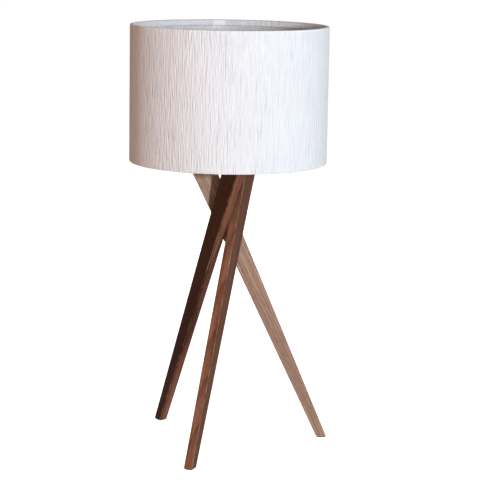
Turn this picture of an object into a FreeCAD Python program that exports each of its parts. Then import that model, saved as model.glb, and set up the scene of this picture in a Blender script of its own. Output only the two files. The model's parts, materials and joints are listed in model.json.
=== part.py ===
import FreeCAD, Part
import math
import os
import Sketcher

# Tripod table lamp, in millimetres, +Z up, standing on z = 0.
# Three tapered wooden blades lean past one another round a small three-sided hub and carry
# a switched screw lampholder on a threaded tube. A drum shade hangs from the lampholder on
# a ring with three wire arms. The blade that stands on the +X side is the right-hand leg.

SIZES = [
    # Legs
    ("foot_outer_reach", 163.4, "lamp axis to the far side of a foot"),
    ("foot_width", 15.8, "radial width of a leg at its foot"),
    ("leg_top_width", 41.3, "radial width of a leg at its top"),
    ("leg_thickness", 13.8, "thickness of the leg's board"),
    ("leg_side_gap", 9.8, "lamp axis to the inner face of each leg"),
    ("crossing_height", 346.3, "height at which the middle line of a leg passes the lamp axis"),
    ("leg_top_gap", 7.5, "leg top to the underside of the shade's arms"),
    ("arris_radius", 1.4, "rounding along the long corners of a leg"),
    ("end_round", 0.8, "rounding round the ends of a leg"),
    ("pad_thickness", 1.2, "felt pad under each foot"),
    ("pad_inset", 1.3, "how far the felt pad stays inside the foot"),
    ("pad_corner_radius", 2.0, "corner of the felt pad"),
    # Hub and its dowels
    ("hub_height", 40.0, "height of the wooden hub"),
    ("hub_corner_reach", 14.5, "lamp axis to the flat that cuts off each corner of the hub"),
    ("dowel_radius", 2.0, "glued dowel"),
    ("dowel_in_leg", 7.0, "dowel length inside a leg"),
    ("dowel_in_hub", 6.0, "dowel length inside the hub"),
    ("dowel_end_gap", 0.5, "glue space past each end of a dowel"),
    ("dowel_glue_gap", 0.05, "glue film round a dowel"),
    ("dowel_side_step", 7.5, "sideways distance of a dowel from the lamp axis"),
    ("dowel_rise", 8.0, "height of a dowel above or below the crossing"),
    # Threaded tube, its nuts and its sleeve
    ("stem_radius", 5.0, "threaded tube, outside"),
    ("stem_bore_radius", 4.0, "threaded tube, inside"),
    ("stem_tail", 1.5, "threaded tube showing under the lower nut"),
    ("thread_gap", 0.05, "play between the threaded tube and what screws on to it"),
    ("washer_radius", 8.0, "washers above and below the hub"),
    ("washer_thickness", 1.5, "washer"),
    ("nut_corner_radius", 8.1, "hexagon nut across its corners, halved"),
    ("nut_thickness", 4.0, "hexagon nut"),
    ("sleeve_radius", 6.5, "cover sleeve on the tube"),
    ("sleeve_length", 64.0, "cover sleeve on the tube"),
    ("bush_bore_radius", 3.1, "cord inlet"),
    ("bush_depth", 9.0, "part of the cord bush inside the tube"),
    ("bush_flange", 1.5, "flange of the cord bush"),
    # Lampholder
    ("holder_radius", 20.0, "lampholder, outside"),
    ("holder_wall", 2.0, "wall of the cap and the casing"),
    ("cap_neck_radius", 8.5, "neck of the cap round the tube"),
    ("cap_neck_height", 5.2, "neck of the cap"),
    ("cap_flare_height", 6.8, "cone between the neck and the wall of the cap"),
    ("cap_height", 22.0, "whole cap"),
    ("stem_in_cap", 9.0, "threaded tube inside the cap"),
    ("lock_screw_radius", 1.5, "screw that locks the cap on the tube"),
    ("casing_height", 19.0, "casing above the cap"),
    ("casing_spigot", 5.0, "part of the casing inside the cap"),
    ("casing_bore_radius", 16.7, "casing, inside"),
    ("spigot_gap", 0.1, "play round the spigot, the insert and the screw shell"),
    ("insert_height", 22.4, "insulating insert"),
    ("insert_drop", 1.0, "insert top below the casing top"),
    ("terminal_screw_radius", 1.75, "terminal screw"),
    ("terminal_head_radius", 2.9, "head of the terminal screw"),
    ("terminal_head_height", 1.5, "head of the terminal screw"),
    ("terminal_depth", 6.0, "terminal screw inside the insert"),
    ("terminal_spread", 8.5, "terminal screw to the lamp axis"),
    ("bar_radius", 2.5, "push bar of the switch"),
    ("bar_length", 60.0, "push bar of the switch"),
    ("bar_travel", 7.0, "push bar of the switch"),
    ("bar_gap", 0.3, "running space round the push bar"),
    ("bar_turn", 66.5, "direction of the push bar, from the right-hand leg"),
    ("bar_below_rim", 10.5, "push bar below the top of the casing"),
    ("bar_end_round", 1.2, "rounding of the bar's ends"),
    ("skirt_height", 26.0, "threaded skirt above the casing"),
    ("skirt_root_radius", 18.9, "thread root of the skirt"),
    ("skirt_crest_radius", 19.6, "thread crest of the skirt"),
    ("skirt_bore_radius", 17.0, "skirt, inside"),
    ("skirt_pitch", 2.0, "thread of the skirt and the shade rings"),
    ("skirt_plain_foot", 2.0, "plain part of the skirt under its thread"),
    ("shell_bore_radius", 13.5, "screw shell, inside"),
    ("shell_wall", 0.5, "screw shell"),
    ("shell_height", 21.0, "screw shell"),
    ("tongue_rise", 0.8, "contact tongue above the insert"),
    ("tongue_thickness", 0.5, "contact tongue"),
    ("tongue_width", 5.0, "contact tongue"),
    ("tongue_length", 16.0, "contact tongue"),
    # Shade rings and the fitter ring between them
    ("lower_ring_rise", 1.2, "lower shade ring above the casing"),
    ("lower_ring_height", 5.0, "lower shade ring"),
    ("upper_ring_height", 6.0, "upper shade ring"),
    ("shade_ring_radius", 29.0, "shade rings, flange"),
    ("shade_ring_collar_radius", 23.0, "shade rings, collar"),
    ("shade_ring_flange", 2.0, "shade rings, flange thickness"),
    ("ring_thread_gap", 0.3, "play between the shade rings and the skirt"),
    ("turning_gap", 0.3, "play above and below the fitter ring"),
    ("fitter_bore_radius", 21.0, "fitter ring, inside"),
    ("fitter_radius", 31.0, "fitter ring, outside"),
    ("fitter_thickness", 2.0, "fitter ring"),
    # Shade
    ("shade_radius", 150.0, "shade, outside"),
    ("shade_height", 206.0, "shade, with its rolled edges"),
    ("shade_drop", 43.3, "shade bottom below the fitter ring"),
    ("fabric_wall", 1.0, "fabric cover"),
    ("liner_wall", 1.0, "stiff liner"),
    ("laminate_gap", 0.05, "glue film between cover, liner and seam"),
    ("edge_fold", 0.8, "fabric folded round the edges"),
    ("edge_turn_in", 10.0, "fabric turned to the inside at each edge"),
    ("edge_round", 0.5, "outer corner of the folded edge"),
    ("frame_wire_radius", 2.0, "top and bottom wire rings"),
    ("arm_wire_radius", 1.75, "wire arms"),
    ("arm_bend_radius", 12.0, "bend of the wire arms"),
    ("arm_knee_reach", 118.0, "lamp axis to the knee of the wire arms"),
    ("arm_turn", 30.0, "direction of the first wire arm, from the right-hand leg"),
    ("seam_width", 20.0, "glued overlap of the liner"),
    ("seam_thickness", 0.4, "glued overlap of the liner"),
    ("seam_gap", 0.3, "glue film under the overlap"),
    ("seam_turn", 91.3, "direction of the overlap, from the right-hand leg"),
    # Bulb
    ("bulb_contact_gap", 0.3, "tongue to the bulb's contact"),
    ("bulb_length", 106.0, "whole bulb"),
    ("bulb_radius", 30.0, "globe"),
    ("bulb_wall", 0.8, "globe"),
    ("contact_radius", 4.8, "centre contact of the bulb"),
    ("contact_height", 1.3, "centre contact of the bulb"),
    ("insulator_height", 3.4, "insulator between contact and cap"),
    ("insulator_radius", 11.4, "insulator where it meets the cap"),
    ("cap_crest_radius", 13.2, "thread crest of the bulb's cap"),
    ("cap_thread_depth", 1.2, "thread of the bulb's cap"),
    ("cap_pitch", 3.63, "thread of the bulb's cap"),
    ("cap_wall", 0.4, "wall of the bulb's cap at the thread root"),
    ("collar_foot_radius", 13.6, "collar where it meets the cap"),
    ("collar_below_centre", 18.0, "collar top below the centre of the globe"),
    ("collar_wall", 1.6, "collar"),
    ("collar_round", 60.0, "hollow curve of the collar"),
    ("board_thickness", 1.6, "light board in the bulb"),
    ("board_gap", 0.3, "play between the light board and the collar"),
]
CAP_THREAD_COUNT = 4
SKIRT_THREAD_COUNT = 10
LEG_TURNS = {"leg_right": 0, "leg_rear_left": 120, "leg_front": 240}
ARM_COUNT = 3

# A ridge of the skirt's thread, as shares of its pitch
CREST_START = 0.3
CREST_END = 0.5
ROOT_START = 0.8

# How near two lengths have to be to count as one
CLOSE = 1e-3
SAME = 1e-6

# The points of a sketched line or arc
START = 1
END = 2
CENTRE = 3


class Size:
    """A length with the formula that binds it to the sheet."""

    def __init__(self, value, text):
        self.value = float(value)
        self.text = text

    def __add__(self, other):
        other = as_size(other)
        return Size(self.value + other.value, f"({self.text} + {other.text})")

    def __sub__(self, other):
        other = as_size(other)
        return Size(self.value - other.value, f"({self.text} - {other.text})")

    def __mul__(self, other):
        other = as_size(other)
        return Size(self.value * other.value, f"({self.text} * {other.text})")

    def __truediv__(self, other):
        other = as_size(other)
        return Size(self.value / other.value, f"({self.text} / {other.text})")

    def __neg__(self):
        return Size(-self.value, f"(-{self.text})")

    __radd__ = __add__
    __rmul__ = __mul__


def as_size(number):
    """A plain number as a Size."""
    if isinstance(number, Size):
        return number
    return Size(number, f"({number:.9f})")


def root(size):
    """Square root of a Size."""
    return Size(math.sqrt(size.value), f"sqrt({size.text})")


doc = FreeCAD.newDocument("tripod_table_lamp")
sheet = doc.addObject("Spreadsheet::Sheet", "sizes")


class S:
    """The sizes by name."""


for row, (alias, value, meaning) in enumerate(SIZES, start=1):
    sheet.set(f"A{row}", meaning)
    sheet.set(f"B{row}", str(value))
    sheet.setAlias(f"B{row}", alias)
    setattr(S, alias, Size(value, f"sizes.{alias}"))
doc.recompute()

ZERO = as_size(0)
NODES = []


# ---- Helpers ----

def origin_part(body, role):
    """An axis or plane of the body's own origin."""
    return next(part for part in body.Origin.OriginFeatures if part.Role == role)


def stand_on_axis(obj, height=ZERO, turn=ZERO):
    """Put an object on the lamp axis, turned about it. The frame's origin is the middle of the
    lamp's footprint, so the axis stands a little to one side of it."""
    obj.Placement = FreeCAD.Placement(
        FreeCAD.Vector(AXIS_X.value, AXIS_Y.value, height.value),
        FreeCAD.Rotation(FreeCAD.Vector(0, 0, 1), turn.value))
    obj.setExpression("Placement.Base.x", AXIS_X.text)
    obj.setExpression("Placement.Base.y", AXIS_Y.text)
    obj.setExpression("Placement.Base.z", height.text)
    obj.setExpression("Placement.Rotation.Angle", turn.text)


def finish(obj, name):
    """Name a finished sub-part."""
    obj.Label = name
    NODES.append(obj)
    return obj


def new_body(name):
    body = doc.addObject("PartDesign::Body", name + "_body")
    return body


def new_sketch(body, role, offset=ZERO):
    """A sketch on one of the body's origin planes, moved along the plane's normal."""
    sketch = body.newObject("Sketcher::SketchObject", body.Name + "_sketch")
    sketch.AttachmentSupport = (origin_part(body, role), [""])
    sketch.MapMode = "FlatFace"
    sketch.setExpression("AttachmentOffset.Base.z", offset.text)
    return sketch


def fix_point(sketch, shape, end, point):
    """Hold one point of the sketch at a place given by two Sizes."""
    for kind, size in zip(("DistanceX", "DistanceY"), point):
        index = sketch.addConstraint(Sketcher.Constraint(kind, -1, 1, shape, end, size.value))
        if "sizes." in size.text:
            sketch.setExpression(f"Constraints[{index}]", size.text)


def bind(sketch, constraint, size):
    index = sketch.addConstraint(constraint)
    sketch.setExpression(f"Constraints[{index}]", size.text)


def arc_between(start, end, radius, turn):
    """An arc of under half a circle. turn is +1 for anticlockwise from start to end."""
    x0, y0 = start
    x1, y1 = end
    half = math.hypot(x1 - x0, y1 - y0) / 2
    reach = math.sqrt(max(radius * radius - half * half, 0.0))
    centre_x = (x0 + x1) / 2 - turn * reach * (y1 - y0) / (2 * half)
    centre_y = (y0 + y1) / 2 + turn * reach * (x1 - x0) / (2 * half)
    first, last = (start, end) if turn > 0 else (end, start)
    angle_0 = math.atan2(first[1] - centre_y, first[0] - centre_x)
    angle_1 = math.atan2(last[1] - centre_y, last[0] - centre_x)
    if angle_1 < angle_0:
        angle_1 += 2 * math.pi
    circle = Part.Circle(FreeCAD.Vector(centre_x, centre_y, 0), FreeCAD.Vector(0, 0, 1), radius)
    return Part.ArcOfCircle(circle, angle_0, angle_1)


def draw_outline(sketch, steps):
    """A closed outline. A step is (x, y), reached by a line, or (x, y, radius, turn), by an arc."""
    points = [(as_size(step[0]), as_size(step[1])) for step in steps]
    ends = []
    for index, step in enumerate(steps):
        start = points[index - 1]
        end = points[index]
        start_xy = (start[0].value, start[1].value)
        end_xy = (end[0].value, end[1].value)
        if len(step) == 4:
            radius = as_size(step[2])
            shape = sketch.addGeometry(arc_between(start_xy, end_xy, radius.value, step[3]), False)
            ends.append((shape, START, END) if step[3] > 0 else (shape, END, START))
            bind(sketch, Sketcher.Constraint("Radius", shape, radius.value), radius)
        else:
            line = Part.LineSegment(FreeCAD.Vector(*start_xy, 0), FreeCAD.Vector(*end_xy, 0))
            shape = sketch.addGeometry(line, False)
            ends.append((shape, START, END))
    for index, (shape, first, last) in enumerate(ends):
        following, following_first, _ = ends[(index + 1) % len(ends)]
        sketch.addConstraint(
            Sketcher.Constraint("Coincident", shape, last, following, following_first))
        fix_point(sketch, shape, last, points[index])


def draw_circle(sketch, centre, radius):
    shape = sketch.addGeometry(
        Part.Circle(FreeCAD.Vector(centre[0].value, centre[1].value, 0),
                    FreeCAD.Vector(0, 0, 1), radius.value), False)
    fix_point(sketch, shape, CENTRE, centre)
    bind(sketch, Sketcher.Constraint("Radius", shape, radius.value), radius)


def revolve(body, steps):
    """Turn an outline of (radius, height) about the body's Z axis."""
    sketch = new_sketch(body, "XZ_Plane")
    draw_outline(sketch, steps)
    turned = body.newObject("PartDesign::Revolution", body.Name + "_turned")
    turned.Profile = sketch
    turned.ReferenceAxis = (sketch, ["V_Axis"])
    turned.Angle = 360
    return turned


def turned_part(name, steps, turn=ZERO):
    """A sub-part that is round about the lamp axis."""
    body = new_body(name)
    revolve(body, steps)
    stand_on_axis(body, turn=turn)
    return finish(body, name)


def extrude(body, sketch, length, backwards=False, kind="PartDesign::Pad"):
    feature = body.newObject(kind, body.Name + "_" + kind.split("::")[1].lower())
    feature.Profile = sketch
    feature.setExpression("Length", length.text)
    feature.Reversed = backwards
    return feature


def cut_into(body, sketch, length, backwards=False):
    """A pocket that has to take material away."""
    doc.recompute()
    before = body.Shape.Volume
    pocket = extrude(body, sketch, length, backwards, "PartDesign::Pocket")
    doc.recompute()
    if body.Shape.Volume >= before - SAME:
        raise RuntimeError(f"{body.Name}: the pocket takes nothing away")
    return pocket


def round_edges(body, radius, wanted):
    """Round the edges of the body's last feature that wanted() picks."""
    doc.recompute()
    base = body.Tip
    names = [f"Edge{number}" for number, edge in enumerate(base.Shape.Edges, start=1)
             if wanted(edge)]
    if not names:
        raise RuntimeError(f"{body.Name}: no edge to round")
    fillet = body.newObject("PartDesign::Fillet", body.Name + "_round")
    fillet.Base = (base, names)
    fillet.setExpression("Radius", radius.text)
    return fillet


def circle_edge(edge, radius):
    """Whether the edge is a whole circle of this radius."""
    return isinstance(edge.Curve, Part.Circle) and abs(edge.Curve.Radius - radius) < CLOSE


# ---- Places worked out from the sizes ----

AXIS_X = (S.shade_radius - S.foot_outer_reach) / 2
FRONT_REACH = (S.foot_outer_reach * math.cos(math.radians(30))
               + (S.leg_side_gap + S.leg_thickness) * math.sin(math.radians(30)))
AXIS_Y = (FRONT_REACH - S.shade_radius) / 2

HUB_BOTTOM = S.crossing_height - S.hub_height / 2
HUB_TOP = S.crossing_height + S.hub_height / 2
LOWER_WASHER_Z = HUB_BOTTOM - S.washer_thickness
LOWER_NUT_Z = LOWER_WASHER_Z - S.nut_thickness
STEM_BOTTOM = LOWER_NUT_Z - S.stem_tail
UPPER_NUT_Z = HUB_TOP + S.washer_thickness
SLEEVE_Z = UPPER_NUT_Z + S.nut_thickness
CAP_Z = SLEEVE_Z + S.sleeve_length
CASING_Z = CAP_Z + S.cap_height
SKIRT_Z = CASING_Z + S.casing_height
SKIRT_TOP = SKIRT_Z + S.skirt_height
LOWER_RING_Z = SKIRT_Z + S.lower_ring_rise
FITTER_Z = LOWER_RING_Z + S.lower_ring_height + S.turning_gap
ARM_Z = FITTER_Z + S.fitter_thickness / 2
UPPER_RING_Z = FITTER_Z + S.fitter_thickness + S.turning_gap
SHADE_BOTTOM = ARM_Z - S.shade_drop
SHADE_TOP = SHADE_BOTTOM + S.shade_height
LEG_TOP = ARM_Z - S.arm_wire_radius - S.leg_top_gap
INSERT_TOP = SKIRT_Z - S.insert_drop
TONGUE_TOP = INSERT_TOP + S.tongue_thickness + S.tongue_rise
BULB_Z = TONGUE_TOP + S.bulb_contact_gap

LINER_REACH = S.shade_radius - S.fabric_wall - S.laminate_gap - S.liner_wall
WIRE_REACH = LINER_REACH - S.laminate_gap - S.frame_wire_radius
WIRE_INSET = S.edge_fold + S.laminate_gap + S.frame_wire_radius


# ---- Legs ----

def is_long(edge, length):
    return edge.Length > length


def is_end_edge(edge):
    """Whether the edge runs level round the foot or the top of a leg."""
    heights = [vertex.Z for vertex in edge.Vertexes]
    level = max(heights) - min(heights) < SAME
    at_end = min(abs(heights[0] - S.pad_thickness.value), abs(heights[0] - LEG_TOP.value)) < SAME
    return level and at_end


def is_upright(edge):
    first, last = edge.Vertexes[0].Point, edge.Vertexes[-1].Point
    aside = math.hypot(first.x - last.x, first.y - last.y)
    return abs(first.z - last.z) > CLOSE and aside < SAME


def leg_middle(height):
    """Where the middle line of a leg is at a height, along the leg's own direction."""
    foot = S.foot_outer_reach - S.foot_width / 2
    rise = (height - S.pad_thickness) / (S.crossing_height - S.pad_thickness)
    return foot - foot * rise


def dowel_places():
    """The two dowels of a leg: sideways place and height."""
    return ((S.dowel_side_step, S.crossing_height - S.dowel_rise),
            (-S.dowel_side_step, S.crossing_height + S.dowel_rise))


def make_leg(name, turn):
    """A tapered board beside the lamp axis, cut level at both ends, with two dowel sockets."""
    body = new_body(name)
    board = new_sketch(body, "XZ_Plane", -S.leg_side_gap)
    top = leg_middle(LEG_TOP)
    draw_outline(board, [
        (S.foot_outer_reach - S.foot_width, S.pad_thickness),
        (S.foot_outer_reach, S.pad_thickness),
        (top + S.leg_top_width / 2, LEG_TOP),
        (top - S.leg_top_width / 2, LEG_TOP),
    ])
    extrude(body, board, S.leg_thickness, backwards=True)
    long_edge = (LEG_TOP - S.pad_thickness).value
    round_edges(body, S.arris_radius, lambda edge: is_long(edge, long_edge))
    round_edges(body, S.end_round, is_end_edge)
    sockets = new_sketch(body, "XZ_Plane", -S.leg_side_gap)
    for place in dowel_places():
        draw_circle(sockets, place, S.dowel_radius + S.dowel_glue_gap)
    cut_into(body, sockets, S.dowel_in_leg + S.dowel_end_gap)
    stand_on_axis(body, turn=as_size(turn))
    return finish(body, name)


def make_foot_pad(name, turn):
    body = new_body(name)
    outline = new_sketch(body, "XY_Plane")
    inner = S.foot_outer_reach - S.foot_width + S.pad_inset
    outer = S.foot_outer_reach - S.pad_inset
    near = S.leg_side_gap + S.pad_inset
    far = S.leg_side_gap + S.leg_thickness - S.pad_inset
    draw_outline(outline, [(inner, near), (outer, near), (outer, far), (inner, far)])
    extrude(body, outline, S.pad_thickness)
    round_edges(body, S.pad_corner_radius, is_upright)
    stand_on_axis(body, turn=as_size(turn))
    return finish(body, name)


# ---- Hub ----

def make_hub():
    """A three-sided block with its corners cut off, bored for the tube."""
    body = new_body("hub_block")
    outline = new_sketch(body, "XY_Plane", HUB_BOTTOM)
    face = S.leg_side_gap
    corner = S.hub_corner_reach
    cos_60 = math.cos(math.radians(60))
    sin_60 = math.sin(math.radians(60))
    half_face = (corner - face * cos_60) / sin_60
    points = []
    for turn in (0, 120, 240):
        cos_turn = math.cos(math.radians(turn))
        sin_turn = math.sin(math.radians(turn))
        for side in (half_face, -half_face):
            points.append((side * cos_turn - face * sin_turn, side * sin_turn + face * cos_turn))
    draw_outline(outline, points)
    extrude(body, outline, S.hub_height)
    bore = new_sketch(body, "XY_Plane", HUB_BOTTOM)
    draw_circle(bore, (ZERO, ZERO), S.stem_radius + S.thread_gap)
    cut_into(body, bore, S.hub_height, backwards=True)
    sockets = new_sketch(body, "XZ_Plane", -S.leg_side_gap)
    for place in dowel_places():
        draw_circle(sockets, place, S.dowel_radius + S.dowel_glue_gap)
    pocket = cut_into(body, sockets, S.dowel_in_hub + S.dowel_end_gap, backwards=True)
    pattern = body.newObject("PartDesign::PolarPattern", "hub_sockets")
    pattern.Originals = [pocket]
    pattern.Axis = (origin_part(body, "Z_Axis"), [""])
    pattern.Angle = 360
    pattern.Occurrences = len(LEG_TURNS)
    body.Tip = pattern
    stand_on_axis(body)
    return finish(body, "hub_block")


def place_on_axis_frame(along, across, height, turn):
    """A point given along and across a direction from the lamp axis."""
    cos_turn = math.cos(math.radians(turn))
    sin_turn = math.sin(math.radians(turn))
    return (AXIS_X + along * cos_turn - across * sin_turn,
            AXIS_Y + along * sin_turn + across * cos_turn,
            height)


def put(obj, point, rotation):
    """Give a primitive its place from three Sizes."""
    obj.Placement = FreeCAD.Placement(
        FreeCAD.Vector(*[size.value for size in point]), rotation)
    for axis, size in zip("xyz", point):
        obj.setExpression(f"Placement.Base.{axis}", size.text)


def make_cylinder(name, radius, length, point, rotation):
    cylinder = doc.addObject("Part::Cylinder", name)
    cylinder.setExpression("Radius", radius.text)
    cylinder.setExpression("Height", length.text)
    put(cylinder, point, rotation)
    return cylinder


def across_turn(turn):
    """Rotation that lays a Z cylinder across the direction of turn, pointing to its left."""
    about_z = FreeCAD.Rotation(FreeCAD.Vector(0, 0, 1), turn)
    return about_z.multiply(FreeCAD.Rotation(FreeCAD.Vector(1, 0, 0), -90))


def along_turn(turn):
    """Rotation that lays a Z cylinder along the direction of turn."""
    about_z = FreeCAD.Rotation(FreeCAD.Vector(0, 0, 1), turn)
    return about_z.multiply(FreeCAD.Rotation(FreeCAD.Vector(0, 1, 0), 90))


def make_dowels():
    """Two glued dowels for each leg."""
    dowels = []
    for turn in LEG_TURNS.values():
        for side, height in dowel_places():
            start = place_on_axis_frame(side, S.leg_side_gap - S.dowel_in_hub, height, turn)
            dowels.append(make_cylinder(f"dowel_{len(dowels) + 1}", S.dowel_radius,
                                        S.dowel_in_hub + S.dowel_in_leg, start,
                                        across_turn(turn)))
    group = doc.addObject("Part::Compound", "dowel_group")
    group.Links = dowels
    return finish(group, "hub_dowels")


# ---- Tube, nuts, washers, sleeve and cord bush ----

def ring_steps(inner, outer, bottom, top):
    return [(inner, bottom), (outer, bottom), (outer, top), (inner, top)]


def make_nut(name, bottom):
    """A hexagon nut on the tube."""
    block = doc.addObject("Part::Prism", name + "_block")
    block.Polygon = 6
    block.setExpression("Circumradius", S.nut_corner_radius.text)
    block.setExpression("Height", S.nut_thickness.text)
    stand_on_axis(block, bottom)
    bore = doc.addObject("Part::Cylinder", name + "_bore")
    bore.setExpression("Radius", (S.stem_radius + S.thread_gap).text)
    bore.setExpression("Height", (S.nut_thickness * 2).text)
    stand_on_axis(bore, bottom - S.nut_thickness / 2)
    nut = doc.addObject("Part::Cut", name + "_cut")
    nut.Base = block
    nut.Tool = bore
    return finish(nut, name)


def make_stem():
    bore = S.stem_radius + S.thread_gap
    turned_part("stem_tube", ring_steps(S.stem_bore_radius, S.stem_radius, STEM_BOTTOM,
                                        CAP_Z + S.stem_in_cap))
    turned_part("lower_washer", ring_steps(bore, S.washer_radius, LOWER_WASHER_Z, HUB_BOTTOM))
    turned_part("upper_washer", ring_steps(bore, S.washer_radius, HUB_TOP, UPPER_NUT_Z))
    make_nut("lower_nut", LOWER_NUT_Z)
    make_nut("upper_nut", UPPER_NUT_Z)
    turned_part("stem_sleeve", ring_steps(bore, S.sleeve_radius, SLEEVE_Z, CAP_Z))
    plug = S.stem_bore_radius - S.thread_gap
    turned_part("cord_bush", [
        (S.bush_bore_radius, STEM_BOTTOM - S.bush_flange),
        (S.stem_radius, STEM_BOTTOM - S.bush_flange),
        (S.stem_radius, STEM_BOTTOM),
        (plug, STEM_BOTTOM),
        (plug, STEM_BOTTOM + S.bush_depth),
        (S.bush_bore_radius, STEM_BOTTOM + S.bush_depth),
    ])


# ---- Lampholder ----

def make_holder_cap():
    """The cup that screws on the tube, with a hole in its neck for the lock screw."""
    body = new_body("holder_cap")
    bore = S.stem_radius + S.thread_gap
    neck_top = CAP_Z + S.cap_neck_height
    flare_top = neck_top + S.cap_flare_height
    floor_top = neck_top + S.holder_wall
    inside = S.holder_radius - S.holder_wall
    revolve(body, [
        (bore, CAP_Z),
        (S.cap_neck_radius, CAP_Z),
        (S.cap_neck_radius, neck_top),
        (S.holder_radius, flare_top),
        (S.holder_radius, CASING_Z),
        (inside, CASING_Z),
        (inside, flare_top + S.holder_wall / 2),
        (S.cap_neck_radius, floor_top),
        (bore, floor_top),
    ])
    hole = new_sketch(body, "XZ_Plane")
    draw_circle(hole, (ZERO, CAP_Z + S.cap_neck_height / 2), S.lock_screw_radius + S.thread_gap)
    cut_into(body, hole, S.cap_neck_radius + S.holder_wall, backwards=False)
    stand_on_axis(body, turn=S.bar_turn)
    return finish(body, "holder_cap")


def make_lock_screw():
    """The screw points at the tube from the side, square to the push bar."""
    turn = S.bar_turn.value + 90
    start = place_on_axis_frame(S.stem_radius + S.thread_gap, ZERO,
                                CAP_Z + S.cap_neck_height / 2, turn)
    screw = make_cylinder("cap_lock_screw", S.lock_screw_radius,
                          S.cap_neck_radius - S.stem_radius, start, along_turn(turn))
    return finish(screw, "cap_lock_screw")


def bar_hole(body, radius):
    """A round hole right through, along the body's own X axis."""
    hole = new_sketch(body, "YZ_Plane", -S.holder_radius)
    draw_circle(hole, (ZERO, SKIRT_Z - S.bar_below_rim), radius)
    cut_into(body, hole, S.holder_radius * 2, backwards=True)


def make_holder_casing():
    body = new_body("holder_casing")
    spigot = S.holder_radius - S.holder_wall - S.spigot_gap
    spigot_z = CASING_Z - S.casing_spigot
    revolve(body, [
        (S.casing_bore_radius, spigot_z),
        (spigot, spigot_z),
        (spigot, CASING_Z),
        (S.holder_radius, CASING_Z),
        (S.holder_radius, SKIRT_Z),
        (S.casing_bore_radius, SKIRT_Z),
    ])
    bar_hole(body, S.bar_radius + S.bar_gap)
    stand_on_axis(body, turn=S.bar_turn)
    return finish(body, "holder_casing")


def make_holder_insert():
    """The insulating block, with the bar's passage and two holes for the terminal screws."""
    body = new_body("holder_insert")
    radius = S.casing_bore_radius - S.spigot_gap
    bottom = INSERT_TOP - S.insert_height
    revolve(body, [(ZERO, bottom), (radius, bottom), (radius, INSERT_TOP), (ZERO, INSERT_TOP)])
    bar_hole(body, S.bar_radius + S.bar_gap)
    holes = new_sketch(body, "XY_Plane", bottom)
    for side in (S.terminal_spread, -S.terminal_spread):
        draw_circle(holes, (ZERO, side), S.terminal_screw_radius + S.thread_gap)
    cut_into(body, holes, S.terminal_depth, backwards=True)
    stand_on_axis(body, turn=S.bar_turn)
    return finish(body, "holder_insert")


def make_terminal_screws():
    """Two screws that hold the wires under the insert."""
    bottom = INSERT_TOP - S.insert_height
    screws = []
    upright = FreeCAD.Rotation()
    for side in (S.terminal_spread, -S.terminal_spread):
        head = make_cylinder("terminal_head", S.terminal_head_radius, S.terminal_head_height,
                             place_on_axis_frame(ZERO, side, bottom - S.terminal_head_height,
                                                 S.bar_turn.value), upright)
        shank = make_cylinder("terminal_shank", S.terminal_screw_radius,
                              S.terminal_head_height + S.terminal_depth - S.dowel_end_gap,
                              place_on_axis_frame(ZERO, side, bottom - S.terminal_head_height,
                                                  S.bar_turn.value), upright)
        screw = doc.addObject("Part::Fuse", "terminal_screw")
        screw.Base = head
        screw.Tool = shank
        screws.append(screw)
    group = doc.addObject("Part::Compound", "terminal_group")
    group.Links = screws
    return finish(group, "terminal_screws")


def make_switch_bar():
    """The push bar lies across the casing and stands out on one side at rest."""
    body = new_body("switch_bar")
    start = -(S.bar_length + S.bar_travel) / 2
    section = new_sketch(body, "YZ_Plane", start)
    draw_circle(section, (ZERO, SKIRT_Z - S.bar_below_rim), S.bar_radius)
    extrude(body, section, S.bar_length)
    round_edges(body, S.bar_end_round, lambda edge: circle_edge(edge, S.bar_radius.value))
    stand_on_axis(body, turn=S.bar_turn)
    return finish(body, "switch_bar")


def make_centre_contact():
    """A brass tongue, bent up from its foot on the insert."""
    body = new_body("centre_contact")
    section = new_sketch(body, "XZ_Plane", -S.tongue_width / 2)
    thick = S.tongue_thickness
    start = -S.tongue_length / 2
    bend = start / 2
    ramp_top = bend / 2
    tip = -bend
    draw_outline(section, [
        (start, INSERT_TOP),
        (bend, INSERT_TOP),
        (ramp_top, TONGUE_TOP - thick),
        (tip, TONGUE_TOP - thick),
        (tip, TONGUE_TOP),
        (ramp_top - thick / 2, TONGUE_TOP),
        (bend - thick / 2, INSERT_TOP + thick),
        (start, INSERT_TOP + thick),
    ])
    extrude(body, section, S.tongue_width)
    stand_on_axis(body, turn=S.bar_turn)
    return finish(body, "centre_contact")


def thread_steps(start_z, pitch, count, thread_root, crest):
    """Ridges up the outside of a part, drawn as closed rings."""
    steps = []
    for number in range(count):
        bottom = start_z + pitch * number
        steps += [(thread_root, bottom),
                  (crest, bottom + pitch * CREST_START),
                  (crest, bottom + pitch * CREST_END),
                  (thread_root, bottom + pitch * ROOT_START)]
    return steps


def make_screw_shell():
    outer = S.shell_bore_radius + S.shell_wall
    flange = S.skirt_bore_radius - S.spigot_gap
    return turned_part("screw_shell", [
        (S.shell_bore_radius, SKIRT_Z),
        (flange, SKIRT_Z),
        (flange, SKIRT_Z + S.shell_wall),
        (outer, SKIRT_Z + S.shell_wall),
        (outer, SKIRT_Z + S.shell_height),
        (S.shell_bore_radius, SKIRT_Z + S.shell_height),
    ])


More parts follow.
